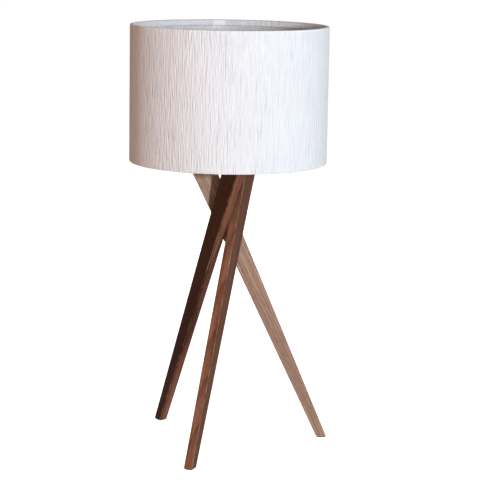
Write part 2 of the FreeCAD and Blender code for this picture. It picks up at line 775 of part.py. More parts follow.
def make_holder_skirt():
    """The skirt clamps the screw shell's flange and carries the thread of the shade rings."""
    ledge = S.shell_bore_radius + S.shell_wall + S.spigot_gap * 2
    ledge_z = SKIRT_Z + S.shell_wall
    steps = [
        (S.skirt_bore_radius, SKIRT_Z),
        (S.skirt_root_radius, SKIRT_Z),
    ]
    steps += thread_steps(SKIRT_Z + S.skirt_plain_foot, S.skirt_pitch, SKIRT_THREAD_COUNT,
                          S.skirt_root_radius, S.skirt_crest_radius)
    steps += [
        (S.skirt_root_radius, SKIRT_TOP),
        (S.skirt_bore_radius, SKIRT_TOP),
        (S.skirt_bore_radius, ledge_z + S.holder_wall),
        (ledge, ledge_z + S.holder_wall),
        (ledge, ledge_z),
        (S.skirt_bore_radius, ledge_z),
    ]
    return turned_part("holder_skirt", steps)


def make_shade_rings():
    """Two threaded rings that hold the fitter ring between their flanges."""
    bore = S.skirt_crest_radius + S.ring_thread_gap
    lower_top = LOWER_RING_Z + S.lower_ring_height
    turned_part("lower_shade_ring", [
        (bore, LOWER_RING_Z),
        (S.shade_ring_collar_radius, LOWER_RING_Z),
        (S.shade_ring_collar_radius, lower_top - S.shade_ring_flange),
        (S.shade_ring_radius, lower_top - S.shade_ring_flange),
        (S.shade_ring_radius, lower_top),
        (bore, lower_top),
    ])
    upper_top = UPPER_RING_Z + S.upper_ring_height
    turned_part("upper_shade_ring", [
        (bore, UPPER_RING_Z),
        (S.shade_ring_radius, UPPER_RING_Z),
        (S.shade_ring_radius, UPPER_RING_Z + S.shade_ring_flange),
        (S.shade_ring_collar_radius, UPPER_RING_Z + S.shade_ring_flange),
        (S.shade_ring_collar_radius, upper_top),
        (bore, upper_top),
    ])


def make_holder():
    make_holder_cap()
    make_lock_screw()
    make_holder_casing()
    make_holder_insert()
    make_terminal_screws()
    make_switch_bar()
    make_centre_contact()
    make_screw_shell()
    make_holder_skirt()
    make_shade_rings()


# ---- Bulb ----

def make_bulb():
    """A globe bulb with a screw cap, whose thread is drawn as closed rings."""
    contact_top = BULB_Z + S.contact_height
    cap_z = contact_top + S.insulator_height
    thread_root = S.cap_crest_radius - S.cap_thread_depth
    middle = S.cap_crest_radius - S.cap_thread_depth / 2
    half_pitch = S.cap_pitch / 2
    ridge = ((half_pitch * half_pitch / 4 + S.cap_thread_depth * S.cap_thread_depth / 4)
             / S.cap_thread_depth)
    cap_top = cap_z + half_pitch * (2 * CAP_THREAD_COUNT) + S.cap_pitch / 2
    inner = thread_root - S.cap_wall
    turned_part("bulb_contact", [
        (ZERO, BULB_Z),
        (S.contact_radius - S.contact_height / 2, BULB_Z),
        (S.contact_radius, contact_top),
        (ZERO, contact_top),
    ])
    turned_part("bulb_insulator", [
        (ZERO, contact_top),
        (S.contact_radius, contact_top),
        (S.insulator_radius, cap_z),
        (ZERO, cap_z),
    ])
    steps = [(inner, cap_z), (middle, cap_z)]
    for number in range(2 * CAP_THREAD_COUNT):
        bulge = 1 if number % 2 == 0 else -1
        steps.append((middle, cap_z + half_pitch * (number + 1), ridge, bulge))
    steps += [(middle, cap_top), (inner, cap_top)]
    turned_part("bulb_cap", steps)
    centre = BULB_Z + S.bulb_length - S.bulb_radius
    collar_top = centre - S.collar_below_centre
    drop = S.collar_below_centre
    joint = root(S.bulb_radius * S.bulb_radius - drop * drop)
    turned_part("bulb_collar", [
        (S.collar_foot_radius - S.collar_wall, cap_top, S.collar_round, 1),
        (S.collar_foot_radius, cap_top),
        (joint, collar_top, S.collar_round, -1),
        (joint - S.collar_wall, collar_top),
    ])
    inside = S.bulb_radius - S.bulb_wall
    inner_joint = root(inside * inside - drop * drop)
    turned_part("bulb_globe", [
        (joint, collar_top),
        (S.bulb_radius, centre, S.bulb_radius, 1),
        (ZERO, centre + S.bulb_radius, S.bulb_radius, 1),
        (ZERO, centre + inside),
        (inside, centre, inside, -1),
        (inner_joint, collar_top, inside, -1),
    ])
    board = joint - S.collar_wall - S.board_thickness / 2 - S.board_gap
    turned_part("bulb_board", [
        (ZERO, collar_top - S.board_thickness),
        (board, collar_top - S.board_thickness),
        (board, collar_top),
        (ZERO, collar_top),
    ])


# ---- Shade ----

def make_edge(name, edge_z, side):
    """Fabric folded over the rim, round the wire ring and down the inside of the liner.
    side is +1 for the top edge and -1 for the bottom edge."""
    outer = S.shade_radius
    fold = S.edge_fold
    inside = S.frame_wire_radius + S.laminate_gap
    wire_z = edge_z - WIRE_INSET * side
    turn_in_z = edge_z - S.edge_turn_in * side
    under_z = wire_z - WIRE_INSET * side
    tuck = LINER_REACH - S.laminate_gap
    return turned_part(name, [
        (outer, edge_z - fold * side),
        (outer, edge_z - S.edge_round * side),
        (outer - S.edge_round, edge_z, S.edge_round, side),
        (WIRE_REACH, edge_z),
        (WIRE_REACH - WIRE_INSET, wire_z, WIRE_INSET, side),
        (WIRE_REACH, under_z, WIRE_INSET, side),
        (tuck - fold, under_z - fold * side),
        (tuck - fold, turn_in_z),
        (tuck, turn_in_z),
        (tuck, under_z),
        (WIRE_REACH, wire_z - inside * side),
        (WIRE_REACH - inside, wire_z, inside, -side),
        (WIRE_REACH, wire_z + inside * side, inside, -side),
    ])


def make_wire_ring(name, edge_z, side):
    ring = doc.addObject("Part::Torus", name + "_torus")
    ring.setExpression("Radius1", WIRE_REACH.text)
    ring.setExpression("Radius2", S.frame_wire_radius.text)
    stand_on_axis(ring, edge_z - WIRE_INSET * side)
    return finish(ring, name)


def make_seam():
    """The liner's glued overlap, a strip up the inside of the back."""
    body = new_body("liner_seam")
    outline = new_sketch(body, "XY_Plane", SHADE_BOTTOM + S.edge_turn_in)
    outer = LINER_REACH - S.seam_gap
    inner = outer - S.seam_thickness
    half = S.seam_width / 2
    outer_x = root(outer * outer - half * half)
    inner_x = root(inner * inner - half * half)
    draw_outline(outline, [
        (inner_x, -half, inner, -1),
        (outer_x, -half),
        (outer_x, half, outer, 1),
        (inner_x, half),
    ])
    extrude(body, outline, S.shade_height - S.edge_turn_in * 2)
    stand_on_axis(body, turn=S.seam_turn)
    return finish(body, "liner_seam")


def draw_arm_path(sketch, start, knee, end, bend):
    """Two straight runs joined by a tangent arc whose tangents meet at the knee."""
    to_start = (start[0].value - knee[0].value, start[1].value - knee[1].value)
    to_end = (end[0].value - knee[0].value, end[1].value - knee[1].value)
    start_length = math.hypot(*to_start)
    end_length = math.hypot(*to_end)
    unit_start = [part / start_length for part in to_start]
    unit_end = [part / end_length for part in to_end]
    between = math.acos(unit_start[0] * unit_end[0] + unit_start[1] * unit_end[1])
    tangent = bend.value / math.tan(between / 2)
    near = [knee[axis].value + unit_start[axis] * tangent for axis in (0, 1)]
    far = [knee[axis].value + unit_end[axis] * tangent for axis in (0, 1)]
    turn = 1 if unit_start[0] * unit_end[1] - unit_start[1] * unit_end[0] < 0 else -1
    first = sketch.addGeometry(Part.LineSegment(
        FreeCAD.Vector(start[0].value, start[1].value, 0), FreeCAD.Vector(*near, 0)), False)
    arc = sketch.addGeometry(arc_between(near, far, bend.value, turn), False)
    last = sketch.addGeometry(Part.LineSegment(
        FreeCAD.Vector(*far, 0), FreeCAD.Vector(end[0].value, end[1].value, 0)), False)
    corner = sketch.addGeometry(Part.Point(
        FreeCAD.Vector(knee[0].value, knee[1].value, 0)), True)
    fix_point(sketch, first, START, start)
    fix_point(sketch, last, END, end)
    fix_point(sketch, corner, START, knee)
    arc_start, arc_end = (START, END) if turn > 0 else (END, START)
    sketch.addConstraint(Sketcher.Constraint("Tangent", first, END, arc, arc_start))
    sketch.addConstraint(Sketcher.Constraint("Tangent", arc, arc_end, last, START))
    sketch.addConstraint(Sketcher.Constraint("PointOnObject", corner, START, first))
    sketch.addConstraint(Sketcher.Constraint("PointOnObject", corner, START, last))
    bind(sketch, Sketcher.Constraint("Radius", arc, bend.value), bend)


def make_arm(number):
    """A wire arm from the fitter ring, level over the leg tops and bent down to the bottom ring.
    Its ends are hollowed to sit on both rings."""
    name = f"spider_arm_{number}"
    body = new_body(name)
    wire_z = SHADE_BOTTOM + WIRE_INSET
    start_r = S.fitter_radius - S.fitter_thickness
    path = new_sketch(body, "XZ_Plane")
    draw_arm_path(path, (start_r, ARM_Z), (S.arm_knee_reach, ARM_Z), (WIRE_REACH, wire_z),
                  S.arm_bend_radius)
    section = new_sketch(body, "YZ_Plane", start_r)
    draw_circle(section, (ZERO, ARM_Z), S.arm_wire_radius)
    pipe = body.newObject("PartDesign::AdditivePipe", name + "_pipe")
    pipe.Profile = section
    pipe.Spine = path
    outline = new_sketch(body, "XZ_Plane")
    high = ARM_Z + S.arm_wire_radius * 2
    low = ARM_Z - S.arm_wire_radius * 2
    draw_outline(outline, [
        (ZERO, low), (S.fitter_radius, low), (S.fitter_radius, high), (ZERO, high)])
    inner_end = body.newObject("PartDesign::Groove", name + "_inner_end")
    inner_end.Profile = outline
    inner_end.ReferenceAxis = (outline, ["V_Axis"])
    inner_end.Angle = 360
    rim = new_sketch(body, "XZ_Plane")
    draw_circle(rim, (WIRE_REACH, wire_z), WIRE_INSET + S.laminate_gap)
    outer_end = body.newObject("PartDesign::Groove", name + "_outer_end")
    outer_end.Profile = rim
    outer_end.ReferenceAxis = (rim, ["V_Axis"])
    outer_end.Angle = 360
    stand_on_axis(body, turn=S.arm_turn + (number - 1) * 360 / ARM_COUNT)
    return finish(body, name)


def make_shade():
    low = SHADE_BOTTOM + S.edge_fold
    high = SHADE_TOP - S.edge_fold
    turned_part("shade_fabric", ring_steps(S.shade_radius - S.fabric_wall, S.shade_radius,
                                           low, high))
    turned_part("shade_liner", ring_steps(LINER_REACH, LINER_REACH + S.liner_wall, low, high))
    make_seam()
    make_edge("top_edge_roll", SHADE_TOP, 1)
    make_edge("bottom_edge_roll", SHADE_BOTTOM, -1)
    make_wire_ring("top_wire_ring", SHADE_TOP, 1)
    make_wire_ring("bottom_wire_ring", SHADE_BOTTOM, -1)
    turned_part("fitter_ring", ring_steps(S.fitter_bore_radius, S.fitter_radius, FITTER_Z,
                                          FITTER_Z + S.fitter_thickness))
    for number in range(1, ARM_COUNT + 1):
        make_arm(number)


# ---- The whole lamp ----

def write_nodes():
    """Check every object, then write one file for each sub-part."""
    doc.recompute()
    for obj in doc.Objects:
        if "Invalid" in obj.State or "Error" in obj.State:
            raise RuntimeError(f"{obj.Label} failed: {obj.State}")
    for obj in NODES:
        shape = obj.Shape
        if shape.isNull() or not shape.isValid() or not shape.Solids:
            raise RuntimeError(f"{obj.Label} has no valid solid")
    os.makedirs("parts", exist_ok=True)
    for obj in NODES:
        obj.Shape.exportStep(os.path.join("parts", obj.Label + ".step"))
    print(f"{len(NODES)} nodes written")


for leg_name, leg_turn in LEG_TURNS.items():
    make_leg(leg_name, leg_turn)
    make_foot_pad(leg_name.replace("leg_", "foot_pad_"), leg_turn)
make_hub()
make_dowels()
make_stem()
make_holder()
make_bulb()
make_shade()
write_nodes()
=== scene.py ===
"""Dresses the tripod table lamp: drum shade in slub cloth, three crossed walnut blades,
lampholder and bulb, and a plain white studio round them."""

import json
import math

import bmesh
import bpy
import numpy as np
from bpy.props import FloatProperty, FloatVectorProperty, IntProperty, PointerProperty
from mathutils import Matrix, Vector, noise


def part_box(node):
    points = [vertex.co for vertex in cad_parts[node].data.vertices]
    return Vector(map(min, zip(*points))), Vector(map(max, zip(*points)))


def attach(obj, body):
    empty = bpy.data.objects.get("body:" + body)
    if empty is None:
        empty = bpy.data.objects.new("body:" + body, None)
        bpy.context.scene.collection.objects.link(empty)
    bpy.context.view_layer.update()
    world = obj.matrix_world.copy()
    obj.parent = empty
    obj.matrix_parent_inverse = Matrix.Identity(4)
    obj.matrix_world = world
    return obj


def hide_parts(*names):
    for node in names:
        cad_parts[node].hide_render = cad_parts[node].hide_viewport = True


bl_info = {
    "name": "Tripod table lamp",
    "version": (1, 0, 0),
    "blender": (4, 5, 0),
    "location": "3D View > Sidebar > Lamp",
    "description": "Finishes and soft pieces of a table lamp on three crossed wooden blades",
    "category": "Object",
}

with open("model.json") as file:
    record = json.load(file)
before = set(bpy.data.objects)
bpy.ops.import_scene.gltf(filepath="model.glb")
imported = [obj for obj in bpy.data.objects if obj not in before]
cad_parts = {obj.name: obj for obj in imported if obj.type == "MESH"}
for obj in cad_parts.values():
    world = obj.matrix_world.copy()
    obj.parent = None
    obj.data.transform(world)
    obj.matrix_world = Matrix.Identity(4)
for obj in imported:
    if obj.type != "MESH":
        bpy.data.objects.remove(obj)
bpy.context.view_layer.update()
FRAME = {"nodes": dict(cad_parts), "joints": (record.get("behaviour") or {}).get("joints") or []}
NODES = FRAME["nodes"]


def joint_place(name):
    """Where a joint of the frame stands."""
    return next(Vector(joint["pos_m"]) for joint in FRAME["joints"] if joint["name"] == name)


SWIVEL = joint_place("shade_swivel")
AXIS = Vector((SWIVEL.x, SWIVEL.y, 0.0))
SHADE_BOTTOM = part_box("bottom_edge_roll")[0].z
SHADE_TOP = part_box("top_edge_roll")[1].z

# Leg pieces, with the direction of each foot from the lamp's axis in degrees
LEGS = {"right": 0.0, "rear_left": 120.0, "front": 240.0}
LEG_LEAN = math.radians(24.25)

# Where the painted shade on a leg's outer face begins and is whole, across the board from the
# lamp's axis
PAINTED_SHADE_START = 0.0215
PAINTED_SHADE_END = 0.0236

# Room between the rim wire and the cloth folded round it
WIRE_SLACK = 0.00005
# Over how much cloth the hem's tone and the rim's painted highlight set in
HEM_FADE = 0.0004
RIM_HIGHLIGHT_FADE = 0.0012
# How much of the hem along its cut edge isn't glued down straight
HEM_LOOSE = 0.003

FULL_TURN = 2.0 * math.pi
DUST = (0.46, 0.44, 0.41)

# Each light of the stage, with its place, width and height
LIGHTS = {
    "key": ((0.80, -2.62, 0.83), 0.16, 0.16),
    "front": ((-0.20, -2.10, 2.50), 1.6, 1.2),
    "window": ((1.70, 0.10, 0.75), 0.9, 1.2),
    "warm": ((-1.60, -0.60, 0.45), 1.2, 1.6),
    "back": ((0.35, 2.50, 1.20), 1.4, 1.2),
}
LIGHT_AIM = 0.40


# ---- Sizes and colours that a user may change ----

def length(name, description, default):
    return FloatProperty(name=name, description=description, default=default, min=0.0,
                         precision=5, unit="LENGTH")


def colour(name, description, default):
    return FloatVectorProperty(name=name, description=description, default=default, size=3,
                               min=0.0, max=1.0, subtype="COLOR")


def share(name, description, default):
    return FloatProperty(name=name, description=description, default=default, min=0.0, max=1.0,
                         subtype="FACTOR")


def light(name, description, default):
    return FloatProperty(name=name, description=description, default=default, min=0.0,
                         unit="POWER")


class ShadeSettings(bpy.types.PropertyGroup):
    radius: length("Radius", "Outside of the cloth cover", 0.150)
    cloth: length("Cloth thickness", "Thickness of the cover cloth", 0.0008)
    wire: length("Wire radius", "Rim wire that the cloth is folded round", 0.002)
    wire_reach: length("Wire reach", "Rim wire's middle from the lamp's axis", 0.1459)
    turn_in: length("Turn-in", "Cloth turned to the inside at each rim", 0.010)
    columns: IntProperty(name="Columns", description="Mesh columns round the cover",
                         default=720, min=120)
    row_height: length("Row height", "Mesh rows up the wall", 0.005)
    slub_width: length("Slub width", "Width of a thick place in the upright yarn", 0.0018)
    slub_length: length("Slub length", "Length of a thick place in the upright yarn", 0.024)
    slub_depth: length("Slub depth", "How far a thick place stands out", 0.00012)
    sway: length("Sway", "Slow waviness of the laminated wall", 0.00010)
    hem_wander: length("Hem wander", "Unevenness of the turned-in cloth's cut edge", 0.0004)
    lap: length("Lap", "Overlap of the cover's upright join", 0.020)
    lap_step: length("Lap step", "How far the overlap stands out", 0.00035)
    lap_turn: FloatProperty(name="Lap direction", description="Where the join begins",
                            default=math.radians(87.5), subtype="ANGLE")
    lap_colour: colour("Lap", "Doubled cloth where the join is turned in", (1.0, 1.0, 1.0))
    hem_colour: colour("Hem", "Cloth turned to the inside", (0.80, 0.795, 0.80))
    # Painted highlight along the cloth drawn over the upper rim
    rim_highlight_colour: colour("Rim", "Cloth drawn tight over the rim", (0.96, 0.96, 0.965))
    cloth_colour: colour("Cloth", "Off-white cloth", (0.86, 0.845, 0.85))
    # Painted shade in the gaps between the yarns
    gap_shade_colour: colour("Cloth gaps", "Shaded gaps between the yarns", (0.60, 0.575, 0.57))
    slub_colour: colour("Slubs", "Thick places in the yarn", (0.92, 0.91, 0.915))
    gap_shade_share: share("Gap strength", "How far a gap takes its own colour", 0.12)
    slub_share: share("Slub strength", "How far a slub takes its own colour", 0.35)
    hem_share: share("Hem strength", "How far the hem takes its own colour", 0.8)
    relief: length("Relief", "Height of the yarns in the bump", 0.0008)
    aged_colour: colour("Aged cloth", "Faint darker patches", (0.78, 0.75, 0.71))
    liner_colour: colour("Liner", "Stiff white liner", (0.70, 0.70, 0.70))
    seam_colour: colour("Liner seam", "Glued overlap of the liner", (0.71, 0.71, 0.705))
    wire_colour: colour("Wire frame", "White coating of the wires", (0.74, 0.74, 0.72))


class WoodSettings(bpy.types.PropertyGroup):
    pale: colour("Brown walnut", "Early wood of the rear and front legs", (0.375, 0.165, 0.093))
    dark: colour("Dark walnut", "Late wood of the rear and front legs", (0.070, 0.020, 0.008))
    red: colour("Red streaks", "Warm streaks in the rear and front legs", (0.225, 0.066, 0.032))
    right_pale: colour("Pale walnut", "Early wood of the right leg", (0.570, 0.365, 0.245))
    right_dark: colour("Pale walnut's rings", "Late wood of the right leg",
                       (0.190, 0.104, 0.072))
    right_red: colour("Pale walnut's streaks", "Warm streaks in the right leg",
                      (0.360, 0.195, 0.132))
    # Painted shade: the colour that darkens each leg's outer face, drawn as heartwood
    painted_face_shade: colour("Painted_face_shade_colour", "The darkest wood, on the face away from the lamp's axis",
                  (0.045, 0.012, 0.002))
    # Rubbed wear and a painted highlight along the leg corners
    rubbed: colour("Rubbed edges", "Dulled wood along the corners", (0.42, 0.25, 0.18))
    pore: colour("Pores", "Open pores of the wood", (0.022, 0.010, 0.006))
    hub_pale: colour("Hub wood", "Early wood of the hub block", (0.155, 0.068, 0.038))
    dowel_pale: colour("Dowel wood", "Pale wood of the dowels", (0.52, 0.36, 0.21))
    ring_pitch: length("Ring pitch", "Distance between year rings", 0.0042)
    felt: colour("Felt", "Felt under the feet", (0.045, 0.032, 0.024))
    felt_fray: length("Felt fray", "Unevenness of the felt's cut edge", 0.00012)
    felt_round: length("Felt rounding", "Rounding of the felt's edges", 0.00025)


class HolderSettings(bpy.types.PropertyGroup):
    plastic: colour("Moulding", "Black moulded parts", (0.012, 0.012, 0.013))
    ribs: IntProperty(name="Ribs", description="Grip ribs round each shade ring", default=48,
                      min=8)
    rib_width: length("Rib width", "Width of a grip rib", 0.0013)
    rib_proud: length("Rib height", "How far a grip rib stands out", 0.0005)
    flange: length("Flange", "Height of a shade ring's flange", 0.002)
    steel: colour("Plated steel", "Nuts, washers and tube", (0.53, 0.54, 0.55))
    sleeve: colour("Sleeve", "Bronzed sleeve over the tube", (0.11, 0.066, 0.040))
    brass: colour("Brass", "Contacts and terminal screws", (0.72, 0.50, 0.20))
    bar: colour("Switch bar", "White push-through bar", (0.78, 0.77, 0.73))
    ceramic: colour("Insert", "Glazed insert of the lampholder", (0.74, 0.72, 0.66))
    bead: length("Weld bead", "Radius of a weld bead on the fitter ring", 0.0019)


class BulbSettings(bpy.types.PropertyGroup):
    opal: colour("Opal", "Opal globe", (0.86, 0.86, 0.84))
    cap: colour("Cap", "Plated screw cap", (0.62, 0.61, 0.58))
    glass: colour("Insulator", "Black glass at the cap's foot", (0.010, 0.010, 0.012))
    collar: colour("Collar", "White moulded collar", (0.80, 0.80, 0.79))
    board: colour("Light board", "White board under the globe", (0.70, 0.71, 0.68))


class StageSettings(bpy.types.PropertyGroup):
    floor: colour("Floor", "Plain pale floor", (0.80, 0.80, 0.80))
    floor_glow: share("Floor glow", "How far the floor burns out to white", 1.0)
    key: light("Key light", "Small soft light beside the camera", 53.0)
    front: light("Front light", "Broad soft light over the camera", 17.0)
    window: light("Window", "Cool window light from the right", 7.3)
    warm: light("Warm wall", "Warm light thrown back from the left", 6.4)
    back: light("Back light", "Broad soft light behind the lamp", 24.0)
    key_colour: colour("Key colour", "Colour of the key light", (0.85, 0.93, 1.0))
    front_colour: colour("Front colour", "Colour of the front light", (0.86, 0.94, 1.0))
    window_colour: colour("Window colour", "Colour of the window light", (0.70, 0.86, 1.0))
    warm_colour: colour("Warm colour", "Colour of the warm wall", (1.0, 0.50, 0.22))
    back_colour: colour("Back colour", "Colour of the back light", (0.90, 0.95, 1.0))
    room: colour("Room", "Warm dim light of the room", (0.090, 0.036, 0.018))
    lens: FloatProperty(name="Lens", description="Focal length in millimetres", default=133.95,
                        min=1.0)
    camera_place: FloatVectorProperty(name="Camera", description="Where the camera stands",
                                      default=(-0.2586, -2.6822, 0.8010), size=3,
                                      subtype="TRANSLATION", unit="LENGTH")
    camera_turn: FloatProperty(name="Turn", description="Camera's turn to the right",
                               default=math.radians(5.793), subtype="ANGLE")
    camera_dip: FloatProperty(name="Dip", description="How far the camera looks down",
                              default=math.radians(10.134), subtype="ANGLE")
    camera_roll: FloatProperty(name="Roll", description="Camera's roll",
                               default=math.radians(0.918), subtype="ANGLE")


# ---- Node helpers ----

def plug(tree, socket, value):
    """Link a socket to another, or set its plain value."""
    if isinstance(value, bpy.types.NodeSocket):
        tree.links.new(value, socket)
    elif socket.type == "RGBA":
        socket.default_value = (*value[:3], 1.0)
    else:
        socket.default_value = value


def add_node(tree, kind, inputs=None, **settings):
    """A node with its settings and its inputs, each named or numbered."""
    node = tree.nodes.new(kind)
    for name, value in settings.items():
        setattr(node, name, value)
    for key, value in (inputs or {}).items():
        plug(tree, node.inputs[key], value)
    return node


def calc(tree, operation, *values, clamp=False):
    node = add_node(tree, "ShaderNodeMath", dict(enumerate(values)), operation=operation)
    node.use_clamp = clamp
    return node.outputs[0]


def times(tree, first, second):
    return calc(tree, "MULTIPLY", first, second)


def plus(tree, first, second):
    return calc(tree, "ADD", first, second)


def split(tree, vector):
    """The three parts of a vector."""
    return add_node(tree, "ShaderNodeSeparateXYZ", {0: vector}).outputs


def mix_colour(tree, factor, first, second):
    node = add_node(tree, "ShaderNodeMix", data_type="RGBA")
    plug(tree, node.inputs[0], factor)
    plug(tree, node.inputs[6], first)
    plug(tree, node.inputs[7], second)
    return node.outputs[2]


def spread(tree, value, low, high, out_low=0.0, out_high=1.0):
    """Stretch a range of values over another, held at its ends."""
    return add_node(tree, "ShaderNodeMapRange", {
        "Value": value, "From Min": low, "From Max": high,
        "To Min": out_low, "To Max": out_high}).outputs[0]


def cloud(tree, vector, scale, detail=2.0, rough=0.5):
    """Smooth noise. A scale of three numbers stretches it."""
    moved = add_node(tree, "ShaderNodeMapping", {"Vector": vector, "Scale": scale})
    return add_node(tree, "ShaderNodeTexNoise", {
        "Vector": moved.outputs[0], "Scale": 1.0, "Detail": detail, "Roughness": rough}).outputs[0]


def bump(tree, height, strength, depth, normal=None):
    inputs = {"Height": height, "Strength": strength, "Distance": depth}
    if normal is not None:
        inputs["Normal"] = normal
    return add_node(tree, "ShaderNodeBump", inputs).outputs[0]


def object_place(tree):
    return add_node(tree, "ShaderNodeTexCoord").outputs["Object"]


def new_group(name, inputs, outputs, kind="ShaderNodeTree"):
    """A node group. Inputs map a name to its socket kind and default, outputs to its kind."""
    tree = bpy.data.node_groups.new(name, kind)
    for label, (socket_kind, default) in inputs.items():
        socket = tree.interface.new_socket(name=label, in_out="INPUT",
                                           socket_type="NodeSocket" + socket_kind)
        if default is not None:
            socket.default_value = default
    for label, socket_kind in outputs.items():
        tree.interface.new_socket(name=label, in_out="OUTPUT",
                                  socket_type="NodeSocket" + socket_kind)
    start = tree.nodes.new("NodeGroupInput")
    end = tree.nodes.new("NodeGroupOutput")
    return tree, start.outputs, end.inputs


def use_group(tree, name, inputs):
    node = add_node(tree, "ShaderNodeGroup", node_tree=bpy.data.node_groups[name])
    for key, value in inputs.items():
        plug(tree, node.inputs[key], value)
    return node.outputs


def new_material(name, **values):
    """A Principled material with its constant values. Returns it with its tree and shader."""
    material = bpy.data.materials.new(name)
    material.use_nodes = True
    tree = material.node_tree
    shader = tree.nodes["Principled BSDF"]
    for key, value in values.items():
        plug(tree, shader.inputs[key.replace("_", " ")], value)
    return material, tree, shader


# ---- Shared effects ----

def make_wood_grain():
    """Year rings, fibres and pores of a sawn board, in board coordinates with Z along it."""
    tree, given, out = new_group("Wood grain", {
        "Place": ("Vector", None), "Ring Pitch": ("Float", 0.004),
        "Pith X": ("Float", 0.03), "Pith Y": ("Float", 0.06), "Wander": ("Float", 0.9),
        "Skew": ("Float", 0.035),
    }, {"Rings": "Float", "Fibre": "Float", "Pores": "Float", "Tone": "Float"})
    place = given["Place"]
    parts = split(tree, place)
    # The pith runs a little askew to the board, which draws long arches on its faces
    across = plus(tree, parts[0], times(tree, parts[2], given["Skew"]))
    dx = calc(tree, "SUBTRACT", across, given["Pith X"])
    dy = calc(tree, "SUBTRACT", parts[1], given["Pith Y"])
    reach = calc(tree, "SQRT", plus(tree, times(tree, dx, dx), times(tree, dy, dy)))
    slow = cloud(tree, place, (26.0, 26.0, 2.2))
    curl = cloud(tree, place, (110.0, 110.0, 7.0))
    count = calc(tree, "DIVIDE", reach, given["Ring Pitch"])
    count = plus(tree, count, times(tree, slow, given["Wander"]))
    count = plus(tree, count, times(tree, curl, 0.35))
    step = calc(tree, "FRACT", count)
    late = calc(tree, "POWER", spread(tree, step, 0.35, 0.95), 1.6)
    early = spread(tree, step, 0.95, 1.0, 1.0, 0.0)
    plug(tree, out["Rings"], times(tree, late, early))
    coarse = cloud(tree, place, (520.0, 520.0, 9.0), 3.0, 0.6)
    fine = cloud(tree, place, (1500.0, 1500.0, 22.0), 2.0, 0.6)
    fibre = plus(tree, times(tree, coarse, 0.6), times(tree, fine, 0.4))
    plug(tree, out["Fibre"], spread(tree, fibre, 0.36, 0.64))
    pits = cloud(tree, place, (2400.0, 2400.0, 95.0), 1.0)
    plug(tree, out["Pores"], spread(tree, pits, 0.62, 0.70))
    tone = cloud(tree, place, (170.0, 170.0, 3.2), 3.0, 0.6)
    plug(tree, out["Tone"], spread(tree, tone, 0.36, 0.62))


def make_slub_weave():
    """Upright slubby yarns crossed by thin ones, over a flat cloth measured in metres."""
    tree, given, out = new_group("Slub weave", {
        "Cloth": ("Vector", None), "Warp Pitch": ("Float", 0.0011),
        "Weft Pitch": ("Float", 0.0009), "Slub Width": ("Float", 0.0018),
        "Slub Length": ("Float", 0.024),
    }, {"Slub": "Float", "Gap": "Float", "Height": "Float"})
    across, up, _ = split(tree, given["Cloth"])
    yarn_place = add_node(tree, "ShaderNodeCombineXYZ", {
        0: calc(tree, "DIVIDE", across, given["Slub Width"]),
        1: calc(tree, "DIVIDE", up, given["Slub Length"])}).outputs[0]
    streak = cloud(tree, yarn_place, (1.0, 1.0, 1.0), 1.0)
    second = add_node(tree, "ShaderNodeMapping", {
        "Vector": yarn_place, "Location": (37.0, 11.0, 0.0), "Scale": (0.8, 0.5, 1.0)})
    drawn = cloud(tree, second.outputs[0], (1.0, 1.0, 1.0), 0.0)
    plug(tree, out["Slub"], spread(tree, streak, 0.56, 0.70))
    gap = times(tree, spread(tree, streak, 0.45, 0.32), 0.6)
    plug(tree, out["Gap"], calc(tree, "ADD", gap, spread(tree, drawn, 0.36, 0.26), clamp=True))
    threads = 0.0
    shift = times(tree, streak, 5.0)
    for run, pitch, depth in ((across, "Warp Pitch", 0.06), (up, "Weft Pitch", 0.03)):
        phase = times(tree, calc(tree, "DIVIDE", run, given[pitch]), FULL_TURN)
        wave = calc(tree, "SINE", plus(tree, phase, shift))
        threads = plus(tree, threads, times(tree, wave, depth))
    relief = plus(tree, times(tree, streak, 2.2),
                  times(tree, spread(tree, drawn, 0.42, 0.24), -0.6))
    plug(tree, out["Height"], plus(tree, threads, relief))


def make_edge_wear():
    """How far a place lies on a rounded or rubbed edge."""
    tree, given, out = new_group("Edge wear", {"Reach": ("Float", 0.0006)}, {"Wear": "Float"})
    rounded = add_node(tree, "ShaderNodeBevel", {"Radius": given["Reach"]}, samples=6).outputs[0]
    flat = add_node(tree, "ShaderNodeNewGeometry").outputs["Normal"]
    agree = add_node(tree, "ShaderNodeVectorMath", {0: rounded, 1: flat},
                     operation="DOT_PRODUCT").outputs["Value"]
    patch = cloud(tree, object_place(tree), (300.0, 300.0, 300.0), 2.0)
    rubbed = spread(tree, agree, 0.995, 0.90)
    plug(tree, out["Wear"], times(tree, rubbed, spread(tree, patch, 0.30, 0.60)))


def make_surface_grain():
    """Fine unevenness of a moulded, coated or plated surface, with a little settled dust."""
    tree, given, out = new_group("Surface grain", {
        "Grain": ("Float", 0.0008), "Dust": ("Float", 0.3),
    }, {"Grain": "Float", "Blotch": "Float", "Dust": "Float"})
    place = object_place(tree)
    fine_scale = calc(tree, "DIVIDE", 1.0, given["Grain"])
    fine = add_node(tree, "ShaderNodeTexNoise", {
        "Vector": place, "Scale": fine_scale, "Detail": 2.0, "Roughness": 0.5}).outputs[0]
    broad = cloud(tree, place, (90.0, 90.0, 90.0), 3.0)
    plug(tree, out["Grain"], fine)
    plug(tree, out["Blotch"], spread(tree, broad, 0.35, 0.65))
    normal = add_node(tree, "ShaderNodeNewGeometry").outputs["Normal"]
    facing = spread(tree, split(tree, normal)[2], 0.2, 1.0)
    speck = spread(tree, cloud(tree, place, (420.0, 420.0, 420.0), 4.0, 0.65), 0.42, 0.66)
    plug(tree, out["Dust"], times(tree, times(tree, facing, speck), given["Dust"]))


def make_shared_effects():
    make_wood_grain()
    make_slub_weave()
    make_edge_wear()
    make_surface_grain()


# ---- Materials ----

def board_turn(azimuth):
    """Turns a place on a leg to board coordinates, with the lamp's axis at the middle."""
    lean = Matrix.Rotation(LEG_LEAN, 3, "Y")
    return lean @ Matrix.Rotation(-math.radians(azimuth), 3, "Z")


